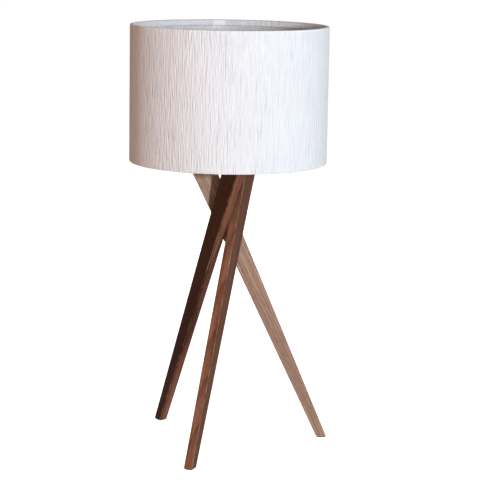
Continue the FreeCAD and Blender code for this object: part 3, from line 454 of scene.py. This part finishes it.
def arris_wear_and_highlight(tree, turn):
    """How far a place lies on the rounding between a board's face and its edge, which is rubbed
    and carries a painted highlight.
    """
    normal = add_node(tree, "ShaderNodeMapping", {
        "Vector": add_node(tree, "ShaderNodeTexCoord").outputs["Normal"],
        "Rotation": turn.to_euler("XYZ")}, vector_type="VECTOR").outputs[0]
    parts = split(tree, normal)
    both = calc(tree, "ABSOLUTE", times(tree, parts[0], parts[1]))
    patch = cloud(tree, object_place(tree), (120.0, 120.0, 60.0))
    return times(tree, spread(tree, both, 0.15, 0.42),
                 spread(tree, patch, 0.35, 0.65, 0.05, 0.6))


def wood_material(name, turn, pith, tones, rings=0.55, roughness=0.46, painted_face_shade=0.0, seed=0.0):
    """Oiled wood. turn is the board's turn, pith where the tree's middle lay, tones its early
    wood, late wood and streaks, and painted_face_shade how far painted shade darkens its outer
    face."""
    wood = bpy.context.scene.lamp_wood
    pale, dark, red = tones
    material, tree, shader = new_material(name, Specular_IOR_Level=0.22)
    away = turn @ -AXIS
    board = add_node(tree, "ShaderNodeMapping", {
        "Vector": object_place(tree), "Rotation": turn.to_euler("XYZ"),
        "Location": (away.x, away.y, away.z + seed)}).outputs[0]
    grain = use_group(tree, "Wood grain", {
        "Place": board, "Ring Pitch": wood.ring_pitch, "Pith X": pith[0], "Pith Y": pith[1]})
    body = mix_colour(tree, times(tree, grain["Tone"], 0.80), pale, red)
    body = mix_colour(tree, times(tree, grain["Rings"], rings), body, dark)
    body = mix_colour(tree, times(tree, grain["Fibre"], 0.38), body, dark)
    # Painted shade: the board's outer face, away from the lamp's axis, is darkened as though it
    # were heartwood
    if painted_face_shade:
        depth = plus(tree, split(tree, board)[1], times(tree, grain["Tone"], 0.0012))
        body = mix_colour(tree, spread(tree, depth, PAINTED_SHADE_START, PAINTED_SHADE_END, 0.0, painted_face_shade), body,
                          wood.painted_face_shade)
    body = mix_colour(tree, times(tree, grain["Pores"], 0.75), body, wood.pore)
    # Paler corners: rubbed wear and a painted highlight
    body = mix_colour(tree, arris_wear_and_highlight(tree, turn), body, wood.rubbed)
    plug(tree, shader.inputs["Base Color"], body)
    gloss = plus(tree, roughness, times(tree, grain["Fibre"], 0.12))
    gloss = plus(tree, gloss, times(tree, grain["Pores"], 0.25))
    plug(tree, shader.inputs["Roughness"], gloss)
    relief = calc(tree, "SUBTRACT", times(tree, grain["Fibre"], -0.35), grain["Pores"])
    plug(tree, shader.inputs["Normal"], bump(tree, relief, 0.45, 0.00010))
    return material


def cloth_material(rim_start, rim_end):
    """The cover's cloth, with a painted highlight on the stretch of it that is drawn over the
    upper rim.
    """
    shade = bpy.context.scene.lamp_shade
    material, tree, shader = new_material(
        "slub_cloth", Roughness=0.92, Sheen_Weight=0.25, Sheen_Roughness=0.45,
        Specular_IOR_Level=0.2)
    cloth = add_node(tree, "ShaderNodeUVMap", uv_map="cloth").outputs[0]
    weave = use_group(tree, "Slub weave", {
        "Cloth": cloth, "Slub Width": shade.slub_width, "Slub Length": shade.slub_length})
    worn = cloud(tree, object_place(tree), (9.0, 9.0, 6.0), 3.0)
    # Painted shade between the yarns
    base = mix_colour(tree, times(tree, weave["Gap"], shade.gap_shade_share), shade.cloth_colour,
                      shade.gap_shade_colour)
    base = mix_colour(tree, times(tree, weave["Slub"], shade.slub_share), base,
                      shade.slub_colour)
    base = mix_colour(tree, spread(tree, worn, 0.55, 0.85, 0.0, 0.05), base, shade.aged_colour)
    around, along, _ = split(tree, cloth)
    hem = spread(tree, along, rim_end - HEM_FADE, rim_end)
    # Painted highlight on the cloth drawn over the upper rim
    rim = calc(tree, "SUBTRACT", spread(tree, along, rim_start - RIM_HIGHLIGHT_FADE, rim_start), hem)
    base = mix_colour(tree, rim, base, shade.rim_highlight_colour)
    base = mix_colour(tree, times(tree, hem, shade.hem_share), base, shade.hem_colour)
    doubled = times(tree, calc(tree, "LESS_THAN", around, shade.lap), hem)
    base = mix_colour(tree, doubled, base, shade.lap_colour)
    plug(tree, shader.inputs["Base Color"], base)
    plug(tree, shader.inputs["Normal"], bump(tree, weave["Height"], 1.0, shade.relief))
    return material


def plain_material(name, body, roughness, grain=0.0008, relief=0.15, depth=0.00005, dust=0.25,
                   wear=0.0, worn=None, **values):
    """A moulded, coated or plated finish with fine grain, blotches, dust and rubbed edges."""
    material, tree, shader = new_material(name, **values)
    skin = use_group(tree, "Surface grain", {"Grain": grain, "Dust": dust})
    deep = tuple(channel * 0.86 for channel in body)
    base = mix_colour(tree, skin["Blotch"], body, deep)
    if worn is not None:
        edge = use_group(tree, "Edge wear", {"Reach": 0.0004})["Wear"]
        base = mix_colour(tree, times(tree, edge, wear), base, worn)
    base = mix_colour(tree, skin["Dust"], base, DUST)
    plug(tree, shader.inputs["Base Color"], base)
    gloss = plus(tree, roughness, times(tree, skin["Blotch"], 0.06))
    gloss = plus(tree, gloss, times(tree, skin["Dust"], 0.5))
    plug(tree, shader.inputs["Roughness"], gloss)
    plug(tree, shader.inputs["Normal"], bump(tree, skin["Grain"], relief, depth))
    return material


def dress(material, *names):
    """Give CAD nodes a material."""
    for name in names:
        slots = NODES[name].data.materials
        if not slots:
            slots.append(material)
        for index in range(len(slots)):
            slots[index] = material


# ---- Mesh helpers ----

def new_piece(name, mesh, material, body):
    """A finished piece that rides on a body."""
    piece = bpy.data.objects.new(name, mesh)
    bpy.context.scene.collection.objects.link(piece)
    if material is not None:
        mesh.materials.clear()
        mesh.materials.append(material)
    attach(piece, body)
    return piece


def band_faces(rows, columns, closed=False):
    """Four-cornered faces between rows of corners that each run round in a ring."""
    faces = []
    for row in range(rows if closed else rows - 1):
        following = (row + 1) % rows
        for column in range(columns):
            beside = (column + 1) % columns
            faces.append((row * columns + column, row * columns + beside,
                          following * columns + beside, following * columns + column))
    return faces


def smooth(mesh):
    mesh.polygons.foreach_set("use_smooth", [True] * len(mesh.polygons))
    mesh.update()


# ---- Shade cover ----

def arc(reach, height, radius, start, end, steps):
    """Points of a round stretch of a section, between two directions in degrees."""
    turns = [math.radians(start + (end - start) * step / steps) for step in range(steps + 1)]
    return [(reach + radius * math.cos(turn), height + radius * math.sin(turn))
            for turn in turns]


def top_fold(shade):
    """The cloth's middle line over the upper rim, from the wall inwards, as (radius, height)."""
    half = shade.cloth / 2
    wall = shade.radius - half
    top = SHADE_TOP - half
    corner = shade.cloth * 1.1
    bend = shade.wire + half + WIRE_SLACK
    wire_z = top - bend
    tail = shade.wire_reach + shade.wire - half
    path = arc(wall - corner, top - corner, corner, 0.0, 90.0, 4)
    path += arc(shade.wire_reach, wire_z, bend, 90.0, 180.0, 5)
    # The turned-in cloth hangs straight from the wire and bends to the liner at its cut edge
    low = SHADE_TOP - shade.turn_in
    inner = shade.wire_reach - bend
    drop = wire_z - low - half
    for share_down, share_out in ((0.25, 0.0), (0.5, 0.0), (0.74, 0.01), (0.86, 0.08),
                                  (0.93, 0.3), (0.98, 0.7), (1.0, 1.0)):
        path.append((inner + (tail - inner) * share_out, wire_z - drop * share_down))
    path.append((tail, low))
    return path


def cover_path(shade):
    """The whole section of the cover: in at the bottom, up the wall and in at the top."""
    top = top_fold(shade)
    middle = (SHADE_TOP + SHADE_BOTTOM) / 2
    bottom = [(reach, 2 * middle - height) for reach, height in reversed(top)]
    low, high = bottom[-1][1], top[0][1]
    rows = max(2, round((high - low) / shade.row_height))
    wall = [(top[0][0], low + (high - low) * row / rows) for row in range(1, rows)]
    return np.array(bottom + wall + top)


def path_normals(path):
    """The direction that stands off each point of the section, away from the cloth's back."""
    along = np.gradient(path, axis=0)
    along /= np.linalg.norm(along, axis=1)[:, None]
    return np.stack([along[:, 1], -along[:, 0]], axis=1)


def slub_relief(shade, angle, height, along):
    """How far the face of the cloth stands out at one place."""
    x = shade.radius * math.cos(angle)
    y = shade.radius * math.sin(angle)
    thick = noise.noise(Vector((x / shade.slub_width, y / shade.slub_width,
                                along / shade.slub_length)))
    sway = noise.noise(Vector((x / 0.022, y / 0.022, height / 0.3 + 5.0)))
    return shade.slub_depth * max(0.0, thick) + shade.sway * sway


def cover_rings(shade, path):
    """The rows of the cover's mesh, along its face and back along its lining side, each with
    its place on the section, the direction off the cloth, its side and the run of cloth."""
    normals = path_normals(path)
    steps = np.linalg.norm(np.diff(path, axis=0), axis=1)
    along = np.concatenate([[0.0], np.cumsum(steps)])
    wall_rows = [row for row in range(len(path)) if abs(normals[row][1]) < 0.01]
    # The back of the wall is flat, so it needs no rows between its ends
    flat_rows = wall_rows[4:-4]
    face = [(path[row], normals[row], 1.0, along[row]) for row in range(len(path))]
    back = [(path[row], normals[row], -1.0, along[row]) for row in reversed(range(len(path)))
            if row not in flat_rows]
    return face + back, float(along[-1])


def cover_places(shade, rings, cut_length):
    """Where each corner of the cover's mesh lies, row by row round the lamp's axis."""
    half = shade.cloth / 2
    columns = shade.columns
    lap_columns = shade.lap / (FULL_TURN * shade.radius) * columns
    verts = np.zeros((len(rings), columns, 3))
    for row, (place, normal, side, run) in enumerate(rings):
        on_wall = side > 0 and place[0] > shade.radius - shade.cloth
        # The cut edge of each turned-in hem wanders a little
        nearness = max(0.0, 1.0 - min(run, cut_length - run) / HEM_LOOSE)
        for column in range(columns):
            angle = shade.lap_turn + FULL_TURN * column / columns
            off = side * half
            if side > 0:
                off += slub_relief(shade, angle, place[1], run) * (1.0 if on_wall else 0.5)
            if on_wall and column < lap_columns:
                off += shade.lap_step * (1.0 - column / lap_columns)
            reach = place[0] + normal[0] * off
            wander = 0.0
            if nearness > 0.0:
                wander = noise.noise(Vector((4.0 * math.cos(angle), 4.0 * math.sin(angle),
                                             20.0 * place[1])))
            verts[row, column] = (AXIS.x + reach * math.cos(angle),
                                  AXIS.y + reach * math.sin(angle),
                                  place[1] + normal[1] * off
                                  + shade.hem_wander * wander * nearness)
    return verts.reshape(-1, 3).tolist()


def make_cover_mesh(shade):
    rings, cut_length = cover_rings(shade, cover_path(shade))
    columns = shade.columns
    step_u = FULL_TURN * shade.radius / columns
    runs = [ring[3] for ring in rings]
    uvs = []
    for v_0, v_1 in zip(runs, runs[1:] + runs[:1]):
        for column in range(columns):
            u_0, u_1 = column * step_u, (column + 1) * step_u
            uvs += [u_0, v_0, u_1, v_0, u_1, v_1, u_0, v_1]
    mesh = bpy.data.meshes.new("shade_cover")
    mesh.from_pydata(cover_places(shade, rings, cut_length), [],
                     band_faces(len(rings), columns, closed=True))
    mesh.uv_layers.new(name="cloth").data.foreach_set("uv", uvs)
    smooth(mesh)
    return mesh, cut_length


class LAMP_OT_shade_cover(bpy.types.Operator):
    """Make the slub cloth cover, folded round both rim wires and turned in"""

    bl_idname = "lamp.shade_cover"
    bl_label = "Shade cover"

    def execute(self, context):
        shade = context.scene.lamp_shade
        mesh, cut_length = make_cover_mesh(shade)
        fold = np.array(top_fold(shade))
        runs = np.linalg.norm(np.diff(fold, axis=0), axis=1)
        rim_start = cut_length - float(runs.sum())
        cloth = cloth_material(rim_start, rim_start + float(runs[:7].sum()))
        cover = new_piece("shade_cover", mesh, cloth, "shade")
        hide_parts("shade_fabric", "top_edge_roll", "bottom_edge_roll")
        return {"FINISHED"}


class LAMP_OT_shade_lining(bpy.types.Operator):
    """Finish the stiff liner and its glued overlap"""

    bl_idname = "lamp.shade_lining"
    bl_label = "Shade lining"

    def execute(self, context):
        shade = context.scene.lamp_shade
        liner = plain_material("liner_sheet", shade.liner_colour, 0.48, grain=0.004, relief=0.25,
                               depth=0.0002, dust=0.0)
        dress(liner, "shade_liner")
        seam = plain_material("liner_overlap", shade.seam_colour, 0.36, grain=0.003, relief=0.2,
                              depth=0.0001, dust=0.0)
        dress(seam, "liner_seam")
        return {"FINISHED"}


# ---- Geometry Nodes: copies set round the lamp's axis ----

RING_INPUTS = {
    "Count": ("Int", 3), "Reach": ("Float", 0.03), "Height": ("Float", 0.48),
    "Start": ("Float", 0.0), "Size": ("Vector", (0.001, 0.001, 0.001)),
    "Axis": ("Vector", (0.0, 0.0, 0.0)), "Unevenness": ("Float", 0.0), "Seed": ("Int", 7),
    "Finish": ("Material", None),
}


def ring_of_copies(name, make_copy):
    """A tree that sets copies of one small shape round the lamp's axis."""
    tree, given, out = new_group(name, RING_INPUTS, {"Geometry": "Geometry"},
                                 "GeometryNodeTree")
    circle = add_node(tree, "GeometryNodeMeshCircle",
                      {"Vertices": given["Count"], "Radius": given["Reach"]})
    number = add_node(tree, "GeometryNodeInputIndex").outputs[0]
    turn = times(tree, number, calc(tree, "DIVIDE", FULL_TURN, given["Count"]))
    spin = add_node(tree, "ShaderNodeCombineXYZ", {2: turn}).outputs[0]
    copies = add_node(tree, "GeometryNodeInstanceOnPoints", {
        "Points": circle.outputs[0], "Instance": make_copy(tree), "Rotation": spin,
        "Scale": given["Size"]}).outputs[0]
    start_turn = add_node(tree, "ShaderNodeCombineXYZ", {2: given["Start"]}).outputs[0]
    lift = add_node(tree, "ShaderNodeCombineXYZ", {2: given["Height"]}).outputs[0]
    place = add_node(tree, "ShaderNodeVectorMath", {0: given["Axis"], 1: lift},
                     operation="ADD").outputs[0]
    placed = add_node(tree, "GeometryNodeTransform", {
        "Geometry": copies, "Translation": place, "Rotation": start_turn}).outputs[0]
    real = add_node(tree, "GeometryNodeRealizeInstances", {0: placed}).outputs[0]
    lumps = add_node(tree, "ShaderNodeTexNoise", {"Scale": 900.0, "Detail": 1.0,
                                                  "W": given["Seed"]}, noise_dimensions="4D")
    push = times(tree, calc(tree, "SUBTRACT", lumps.outputs[0], 0.5), given["Unevenness"])
    normal = add_node(tree, "GeometryNodeInputNormal").outputs[0]
    offset = add_node(tree, "ShaderNodeVectorMath", {0: normal}, operation="SCALE")
    plug(tree, offset.inputs["Scale"], push)
    shaped = add_node(tree, "GeometryNodeSetPosition", {
        "Geometry": real, "Offset": offset.outputs[0]}).outputs[0]
    finished = add_node(tree, "GeometryNodeSetMaterial", {
        "Geometry": shaped, "Material": given["Finish"]}).outputs[0]
    plug(tree, out["Geometry"], finished)
    return tree


def rib_shape(tree):
    """A round-backed rib one unit across and one unit tall."""
    return add_node(tree, "GeometryNodeMeshCylinder", {
        "Vertices": 12, "Radius": 0.5, "Depth": 1.0}).outputs["Mesh"]


def bead_shape(tree):
    return add_node(tree, "GeometryNodeMeshIcoSphere", {
        "Radius": 1.0, "Subdivisions": 4}).outputs[0]


def grow(name, tree, values):
    """Run a tree on an empty mesh and keep the result as a plain mesh."""
    carrier = bpy.data.objects.new(name + "_tree", bpy.data.meshes.new(name + "_start"))
    bpy.context.scene.collection.objects.link(carrier)
    modifier = carrier.modifiers.new("Copies", "NODES")
    modifier.node_group = tree
    for item in tree.interface.items_tree:
        if item.in_out == "INPUT" and item.name in values:
            modifier[item.identifier] = values[item.name]
    bpy.context.view_layer.update()
    evaluated = carrier.evaluated_get(bpy.context.evaluated_depsgraph_get())
    mesh = bpy.data.meshes.new_from_object(evaluated)
    mesh.name = name
    bpy.data.objects.remove(carrier)
    if not mesh.polygons:
        raise RuntimeError(f"{name} came out empty")
    return mesh


class LAMP_OT_shade_frame(bpy.types.Operator):
    """Finish the white wire frame and set its weld beads"""

    bl_idname = "lamp.shade_frame"
    bl_label = "Shade frame"

    def execute(self, context):
        shade = context.scene.lamp_shade
        holder = context.scene.lamp_holder
        coat = plain_material("white_coated_wire", shade.wire_colour, 0.36, grain=0.0006,
                              relief=0.25, depth=0.00006, wear=0.5, worn=(0.42, 0.42, 0.41),
                              Specular_IOR_Level=0.5)
        dress(coat, "top_wire_ring", "bottom_wire_ring", "fitter_ring",
              "spider_arm_1", "spider_arm_2", "spider_arm_3")
        tree = ring_of_copies("Weld beads", bead_shape)
        bead = holder.bead
        mesh = grow("fitter_weld_beads", tree, {
            "Count": 3, "Reach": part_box("fitter_ring")[1].x - AXIS.x + bead * 0.4,
            "Height": SWIVEL.z, "Start": math.radians(30.0),
            "Size": (bead, bead * 1.5, bead * 0.82), "Axis": AXIS, "Unevenness": bead * 0.3,
            "Seed": 11, "Finish": coat})
        smooth(mesh)
        new_piece("fitter_weld_beads", mesh, coat, "shade")
        return {"FINISHED"}


# ---- Legs, hub and feet ----

class LAMP_OT_legs(bpy.types.Operator):
    """Finish the three walnut blades, each with its grain along it"""

    bl_idname = "lamp.legs"
    bl_label = "Legs"

    def execute(self, context):
        wood = context.scene.lamp_wood
        brown = (wood.pale, wood.dark, wood.red)
        pale = (wood.right_pale, wood.right_dark, wood.right_red)
        # The last number of each board is how far painted shade darkens its outer face
        boards = {"right": ((0.02, -0.055), pale, 0.3), "rear_left": ((0.06, 0.03), brown, 0.9),
                  "front": ((-0.03, 0.07), brown, 0.5)}
        for number, (name, (pith, tones, painted_face_shade)) in enumerate(boards.items()):
            walnut = wood_material("walnut_leg_" + name, board_turn(LEGS[name]), pith, tones,
                                   painted_face_shade=painted_face_shade, seed=1.7 * number)
            dress(walnut, "leg_" + name)
        return {"FINISHED"}


class LAMP_OT_hub(bpy.types.Operator):
    """Finish the hub block and its glued dowels"""

    bl_idname = "lamp.hub"
    bl_label = "Hub"

    def execute(self, context):
        wood = context.scene.lamp_wood
        upright = Matrix.Identity(3)
        dress(wood_material("walnut_hub", upright, (0.03, 0.05),
                            (wood.hub_pale, wood.dark, wood.red), seed=7.3), "hub_block")
        level = Matrix.Rotation(math.radians(90.0), 3, "Y")
        dress(wood_material("beech_dowels", level, (0.01, 0.02),
                            (wood.dowel_pale, wood.right_dark, wood.right_pale), rings=0.15,
                            roughness=0.55, seed=3.1), "hub_dowels")
        return {"FINISHED"}


def pad_outline(node, spacing=0.0006):
    """The outline of a felt pad's upper face, walked at even steps."""
    work = bmesh.new()
    work.from_mesh(NODES[node].data)
    bmesh.ops.remove_doubles(work, verts=work.verts, dist=1e-6)
    top = max(vert.co.z for vert in work.verts)
    points = [vert.co.xy.copy() for vert in work.verts if top - vert.co.z < 1e-5]
    work.free()
    middle = sum(points, Vector((0.0, 0.0))) / len(points)
    points.sort(key=lambda point: math.atan2(point.y - middle.y, point.x - middle.x))
    walked = []
    for start, end in zip(points, points[1:] + points[:1]):
        steps = max(1, round((end - start).length / spacing))
        walked += [start.lerp(end, step / steps) for step in range(steps)]
    return walked, middle, top


def make_pad_mesh(node, fray, round_over):
    """A felt pad with soft edges and a slightly frayed outline, as rings from the middle of
    its underside, out and up, to the middle of its top."""
    outline, middle, top = pad_outline(node)
    inner = (0.25, 0.55, 0.82)
    rings = [(reach, 0.0, 0.0) for reach in inner]
    rings += [(1.0, round_over, 0.0), (1.0, 0.0, round_over), (1.0, 0.0, top / 2),
              (1.0, 0.0, top - round_over), (1.0, round_over, top)]
    rings += [(reach, 0.0, top) for reach in reversed(inner)]
    verts = []
    for reach, inset, height in rings:
        for point in outline:
            out = point - middle
            away = out.normalized()
            rough = noise.noise(Vector((point.x / 0.0009, point.y / 0.0009,
                                        height / 0.0005)))
            flat = middle + out * reach - away * (inset + fray * (0.6 + 0.6 * rough) * reach)
            verts.append((flat.x, flat.y, height))
    count = len(outline)
    faces = band_faces(len(rings), count)
    faces.append(tuple(reversed(range(count))))
    faces.append(tuple((len(rings) - 1) * count + index for index in range(count)))
    mesh = bpy.data.meshes.new(node)
    mesh.from_pydata(verts, [], faces)
    smooth(mesh)
    return mesh


def felt_material():
    wood = bpy.context.scene.lamp_wood
    material, tree, shader = new_material("wool_felt", Roughness=0.95, Sheen_Weight=0.4,
                                          Sheen_Roughness=0.5, Specular_IOR_Level=0.15)
    place = object_place(tree)
    hairs = cloud(tree, place, (2600.0, 700.0, 900.0), 4.0, 0.7)
    crossed = cloud(tree, place, (700.0, 2600.0, 900.0), 4.0, 0.7)
    fluff = calc(tree, "MAXIMUM", hairs, crossed)
    pale = tuple(min(1.0, channel * 2.6) for channel in wood.felt)
    plug(tree, shader.inputs["Base Color"],
         mix_colour(tree, spread(tree, fluff, 0.45, 0.75), wood.felt, pale))
    plug(tree, shader.inputs["Normal"], bump(tree, fluff, 0.9, 0.00025))
    return material


class LAMP_OT_foot_pads(bpy.types.Operator):
    """Make the felt pads under the feet"""

    bl_idname = "lamp.foot_pads"
    bl_label = "Foot pads"

    def execute(self, context):
        felt = felt_material()
        wood = context.scene.lamp_wood
        for name in LEGS:
            node = "foot_pad_" + name
            mesh = make_pad_mesh(node, wood.felt_fray, wood.felt_round)
            pad = new_piece("felt_" + name, mesh, felt, "base")
            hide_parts(node)
        return {"FINISHED"}


# ---- Fittings, lampholder and bulb ----

class LAMP_OT_fittings(bpy.types.Operator):
    """Finish the tube, nuts, washers, cap lock screw and sleeve"""

    bl_idname = "lamp.fittings"
    bl_label = "Fittings"

    def execute(self, context):
        holder = context.scene.lamp_holder
        steel = plain_material("plated_steel", holder.steel, 0.30, grain=0.0005, relief=0.2,
                               depth=0.00004, wear=0.5, worn=(0.75, 0.75, 0.74), Metallic=1.0)
        dress(steel, "stem_tube", "lower_nut", "upper_nut", "lower_washer", "upper_washer",
              "cap_lock_screw")
        bronze = plain_material("bronzed_sleeve", holder.sleeve, 0.38, grain=0.0007, relief=0.2,
                                depth=0.00004, wear=0.6, worn=(0.36, 0.22, 0.12), Metallic=0.8)
        dress(bronze, "stem_sleeve")
        return {"FINISHED"}


class LAMP_OT_lampholder(bpy.types.Operator):
    """Finish the moulded lampholder, its contacts and its switch bar"""

    bl_idname = "lamp.lampholder"
    bl_label = "Lampholder"

    def execute(self, context):
        holder = context.scene.lamp_holder
        black = plain_material("black_moulding", holder.plastic, 0.34, grain=0.0005, relief=0.3,
                               depth=0.00006, dust=0.22, wear=0.5, worn=(0.06, 0.06, 0.06))
        dress(black, "cord_bush", "holder_cap", "holder_casing", "holder_skirt",
              "lower_shade_ring", "upper_shade_ring")
        dress(plain_material("glazed_insert", holder.ceramic, 0.22, grain=0.002, relief=0.15),
              "holder_insert")
        brass = plain_material("brass_contacts", holder.brass, 0.28, grain=0.0004, wear=0.4,
                               worn=(0.86, 0.66, 0.34), Metallic=1.0)
        dress(brass, "terminal_screws", "centre_contact", "screw_shell")
        dress(plain_material("white_switch_bar", holder.bar, 0.30, grain=0.0006, dust=0.1),
              "switch_bar")
        tree = ring_of_copies("Grip ribs", rib_shape)
        for name, low in (("lower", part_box("lower_shade_ring")[1].z - holder.flange),
                          ("upper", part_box("upper_shade_ring")[0].z)):
            flange_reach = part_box(name + "_shade_ring")[1].x - AXIS.x
            mesh = grow(name + "_ring_ribs", tree, {
                "Count": holder.ribs, "Reach": flange_reach, "Height": low + holder.flange / 2,
                "Start": 0.0, "Axis": AXIS, "Unevenness": 0.0, "Seed": 3, "Finish": black,
                "Size": (holder.rib_proud * 2, holder.rib_width, holder.flange * 0.86)})
            new_piece(name + "_ring_ribs", mesh, black, "base")
        return {"FINISHED"}


class LAMP_OT_bulb(bpy.types.Operator):
    """Finish the opal bulb and its screw cap"""

    bl_idname = "lamp.bulb"
    bl_label = "Bulb"

    def execute(self, context):
        bulb = context.scene.lamp_bulb
        dress(plain_material("nickel_cap", bulb.cap, 0.26, grain=0.0005, wear=0.6,
                             worn=(0.80, 0.76, 0.66), Metallic=1.0), "bulb_cap", "bulb_contact")
        dress(plain_material("black_glass", bulb.glass, 0.08, relief=0.05, dust=0.1),
              "bulb_insulator")
        dress(plain_material("white_collar", bulb.collar, 0.34, grain=0.0006, dust=0.15),
              "bulb_collar")
        dress(plain_material("light_board", bulb.board, 0.5, grain=0.0004, dust=0.0),
              "bulb_board")
        opal = plain_material("opal_globe", bulb.opal, 0.20, grain=0.0030, relief=0.06,
                              depth=0.0001, dust=0.12, Subsurface_Weight=0.35,
                              Subsurface_Radius=(0.012, 0.012, 0.011), Subsurface_Scale=0.4,
                              Coat_Weight=0.25, Coat_Roughness=0.08)
        dress(opal, "bulb_globe")
        return {"FINISHED"}


# ---- Stage ----

def look_direction(stage):
    turn, dip = stage.camera_turn, stage.camera_dip
    return Vector((math.sin(turn) * math.cos(dip), math.cos(turn) * math.cos(dip),
                   -math.sin(dip)))


def make_camera(stage):
    data = bpy.data.cameras.new("camera")
    data.sensor_width = 36.0
    data.lens = stage.lens
    data.clip_start = 0.1
    data.clip_end = 200.0
    forward = look_direction(stage)
    right = Vector((math.cos(stage.camera_turn), -math.sin(stage.camera_turn), 0.0))
    up = right.cross(forward)
    cos_roll, sin_roll = math.cos(stage.camera_roll), math.sin(stage.camera_roll)
    rolled_right = right * cos_roll + up * sin_roll
    rolled_up = up * cos_roll - right * sin_roll
    turn = Matrix((rolled_right, rolled_up, -forward)).transposed()
    camera = bpy.data.objects.new("camera", data)
    bpy.context.scene.collection.objects.link(camera)
    camera.matrix_world = Matrix.Translation(stage.camera_place) @ turn.to_4x4()
    bpy.context.scene.camera = camera


def make_light(name, place, power, tint, wide, tall):
    """A soft light that looks at the lamp."""
    data = bpy.data.lights.new(name, "AREA")
    data.shape = "RECTANGLE"
    data.size = wide
    data.size_y = tall
    data.energy = power
    data.color = tint
    lit = bpy.data.objects.new(name, data)
    bpy.context.scene.collection.objects.link(lit)
    lit.location = place
    lit.rotation_mode = "QUATERNION"
    aim = Vector((AXIS.x, AXIS.y, LIGHT_AIM))
    lit.rotation_quaternion = (aim - Vector(place)).to_track_quat("-Z", "Y")


def floor_material(stage):
    """A pale floor that burns out to white in the picture."""
    material, tree, shader = new_material("studio_floor", Roughness=0.9,
                                          Specular_IOR_Level=0.1)
    worn = cloud(tree, object_place(tree), (2.0, 2.0, 2.0), 3.0)
    dim = tuple(channel * 0.98 for channel in stage.floor)
    plug(tree, shader.inputs["Base Color"], mix_colour(tree, worn, stage.floor, dim))
    seen = add_node(tree, "ShaderNodeLightPath").outputs["Is Camera Ray"]
    plug(tree, shader.inputs["Emission Color"], (1.0, 1.0, 1.0))
    plug(tree, shader.inputs["Emission Strength"], times(tree, seen, stage.floor_glow))
    return material


def make_floor(stage):
    half = 60.0
    mesh = bpy.data.meshes.new("floor")
    mesh.from_pydata([(-half, -half, 0.0), (half, -half, 0.0), (half, half, 0.0),
                      (-half, half, 0.0)], [], [(0, 1, 2, 3)])
    mesh.materials.append(floor_material(stage))
    floor = bpy.data.objects.new("floor", mesh)
    bpy.context.scene.collection.objects.link(floor)


def make_room(stage):
    """White behind the lamp in the picture, and a dim warm room to everything else."""
    world = bpy.data.worlds.new("room")
    bpy.context.scene.world = world
    world.use_nodes = True
    tree = world.node_tree
    tree.nodes.clear()
    room = add_node(tree, "ShaderNodeBackground", {"Color": stage.room, "Strength": 1.0})
    white = add_node(tree, "ShaderNodeBackground", {"Color": (1.0, 1.0, 1.0), "Strength": 1.0})
    seen = add_node(tree, "ShaderNodeLightPath").outputs["Is Camera Ray"]
    both = add_node(tree, "ShaderNodeMixShader", {0: seen, 1: room.outputs[0],
                                                  2: white.outputs[0]})
    out = tree.nodes.new("ShaderNodeOutputWorld")
    tree.links.new(both.outputs[0], out.inputs[0])


class LAMP_OT_stage(bpy.types.Operator):
    """Set the floor, the lights and the camera"""

    bl_idname = "lamp.stage"
    bl_label = "Stage"

    def execute(self, context):
        stage = context.scene.lamp_stage
        make_floor(stage)
        make_room(stage)
        for name, (place, wide, tall) in LIGHTS.items():
            make_light(name, place, getattr(stage, name), getattr(stage, name + "_colour"),
                       wide, tall)
        make_camera(stage)
        context.scene.view_settings.view_transform = "Standard"
        context.scene.view_settings.look = "None"
        return {"FINISHED"}


# ---- Panel and registration ----

STEPS = (LAMP_OT_shade_cover, LAMP_OT_shade_lining, LAMP_OT_shade_frame, LAMP_OT_legs,
         LAMP_OT_hub, LAMP_OT_foot_pads, LAMP_OT_fittings, LAMP_OT_lampholder, LAMP_OT_bulb,
         LAMP_OT_stage)

SETTINGS = {"lamp_shade": ShadeSettings, "lamp_wood": WoodSettings,
            "lamp_holder": HolderSettings, "lamp_bulb": BulbSettings,
            "lamp_stage": StageSettings}


class LAMP_PT_lamp(bpy.types.Panel):
    bl_idname = "LAMP_PT_lamp"
    bl_label = "Tripod table lamp"
    bl_space_type = "VIEW_3D"
    bl_region_type = "UI"
    bl_category = "Lamp"

    def draw(self, context):
        for step in STEPS:
            self.layout.operator(step.bl_idname)
        for name, kind in SETTINGS.items():
            box = self.layout.box()
            for field in kind.__annotations__:
                box.prop(getattr(context.scene, name), field)


CLASSES = (*SETTINGS.values(), *STEPS, LAMP_PT_lamp)


def register():
    for kind in CLASSES:
        bpy.utils.register_class(kind)
    for name, kind in SETTINGS.items():
        setattr(bpy.types.Scene, name, PointerProperty(type=kind))


def unregister():
    for name in SETTINGS:
        delattr(bpy.types.Scene, name)
    for kind in reversed(CLASSES):
        bpy.utils.unregister_class(kind)


def main():
    register()
    make_shared_effects()
    for step in STEPS:
        group, name = step.bl_idname.split(".")
        getattr(getattr(bpy.ops, group), name)()


if __name__ == "__main__":
    main()
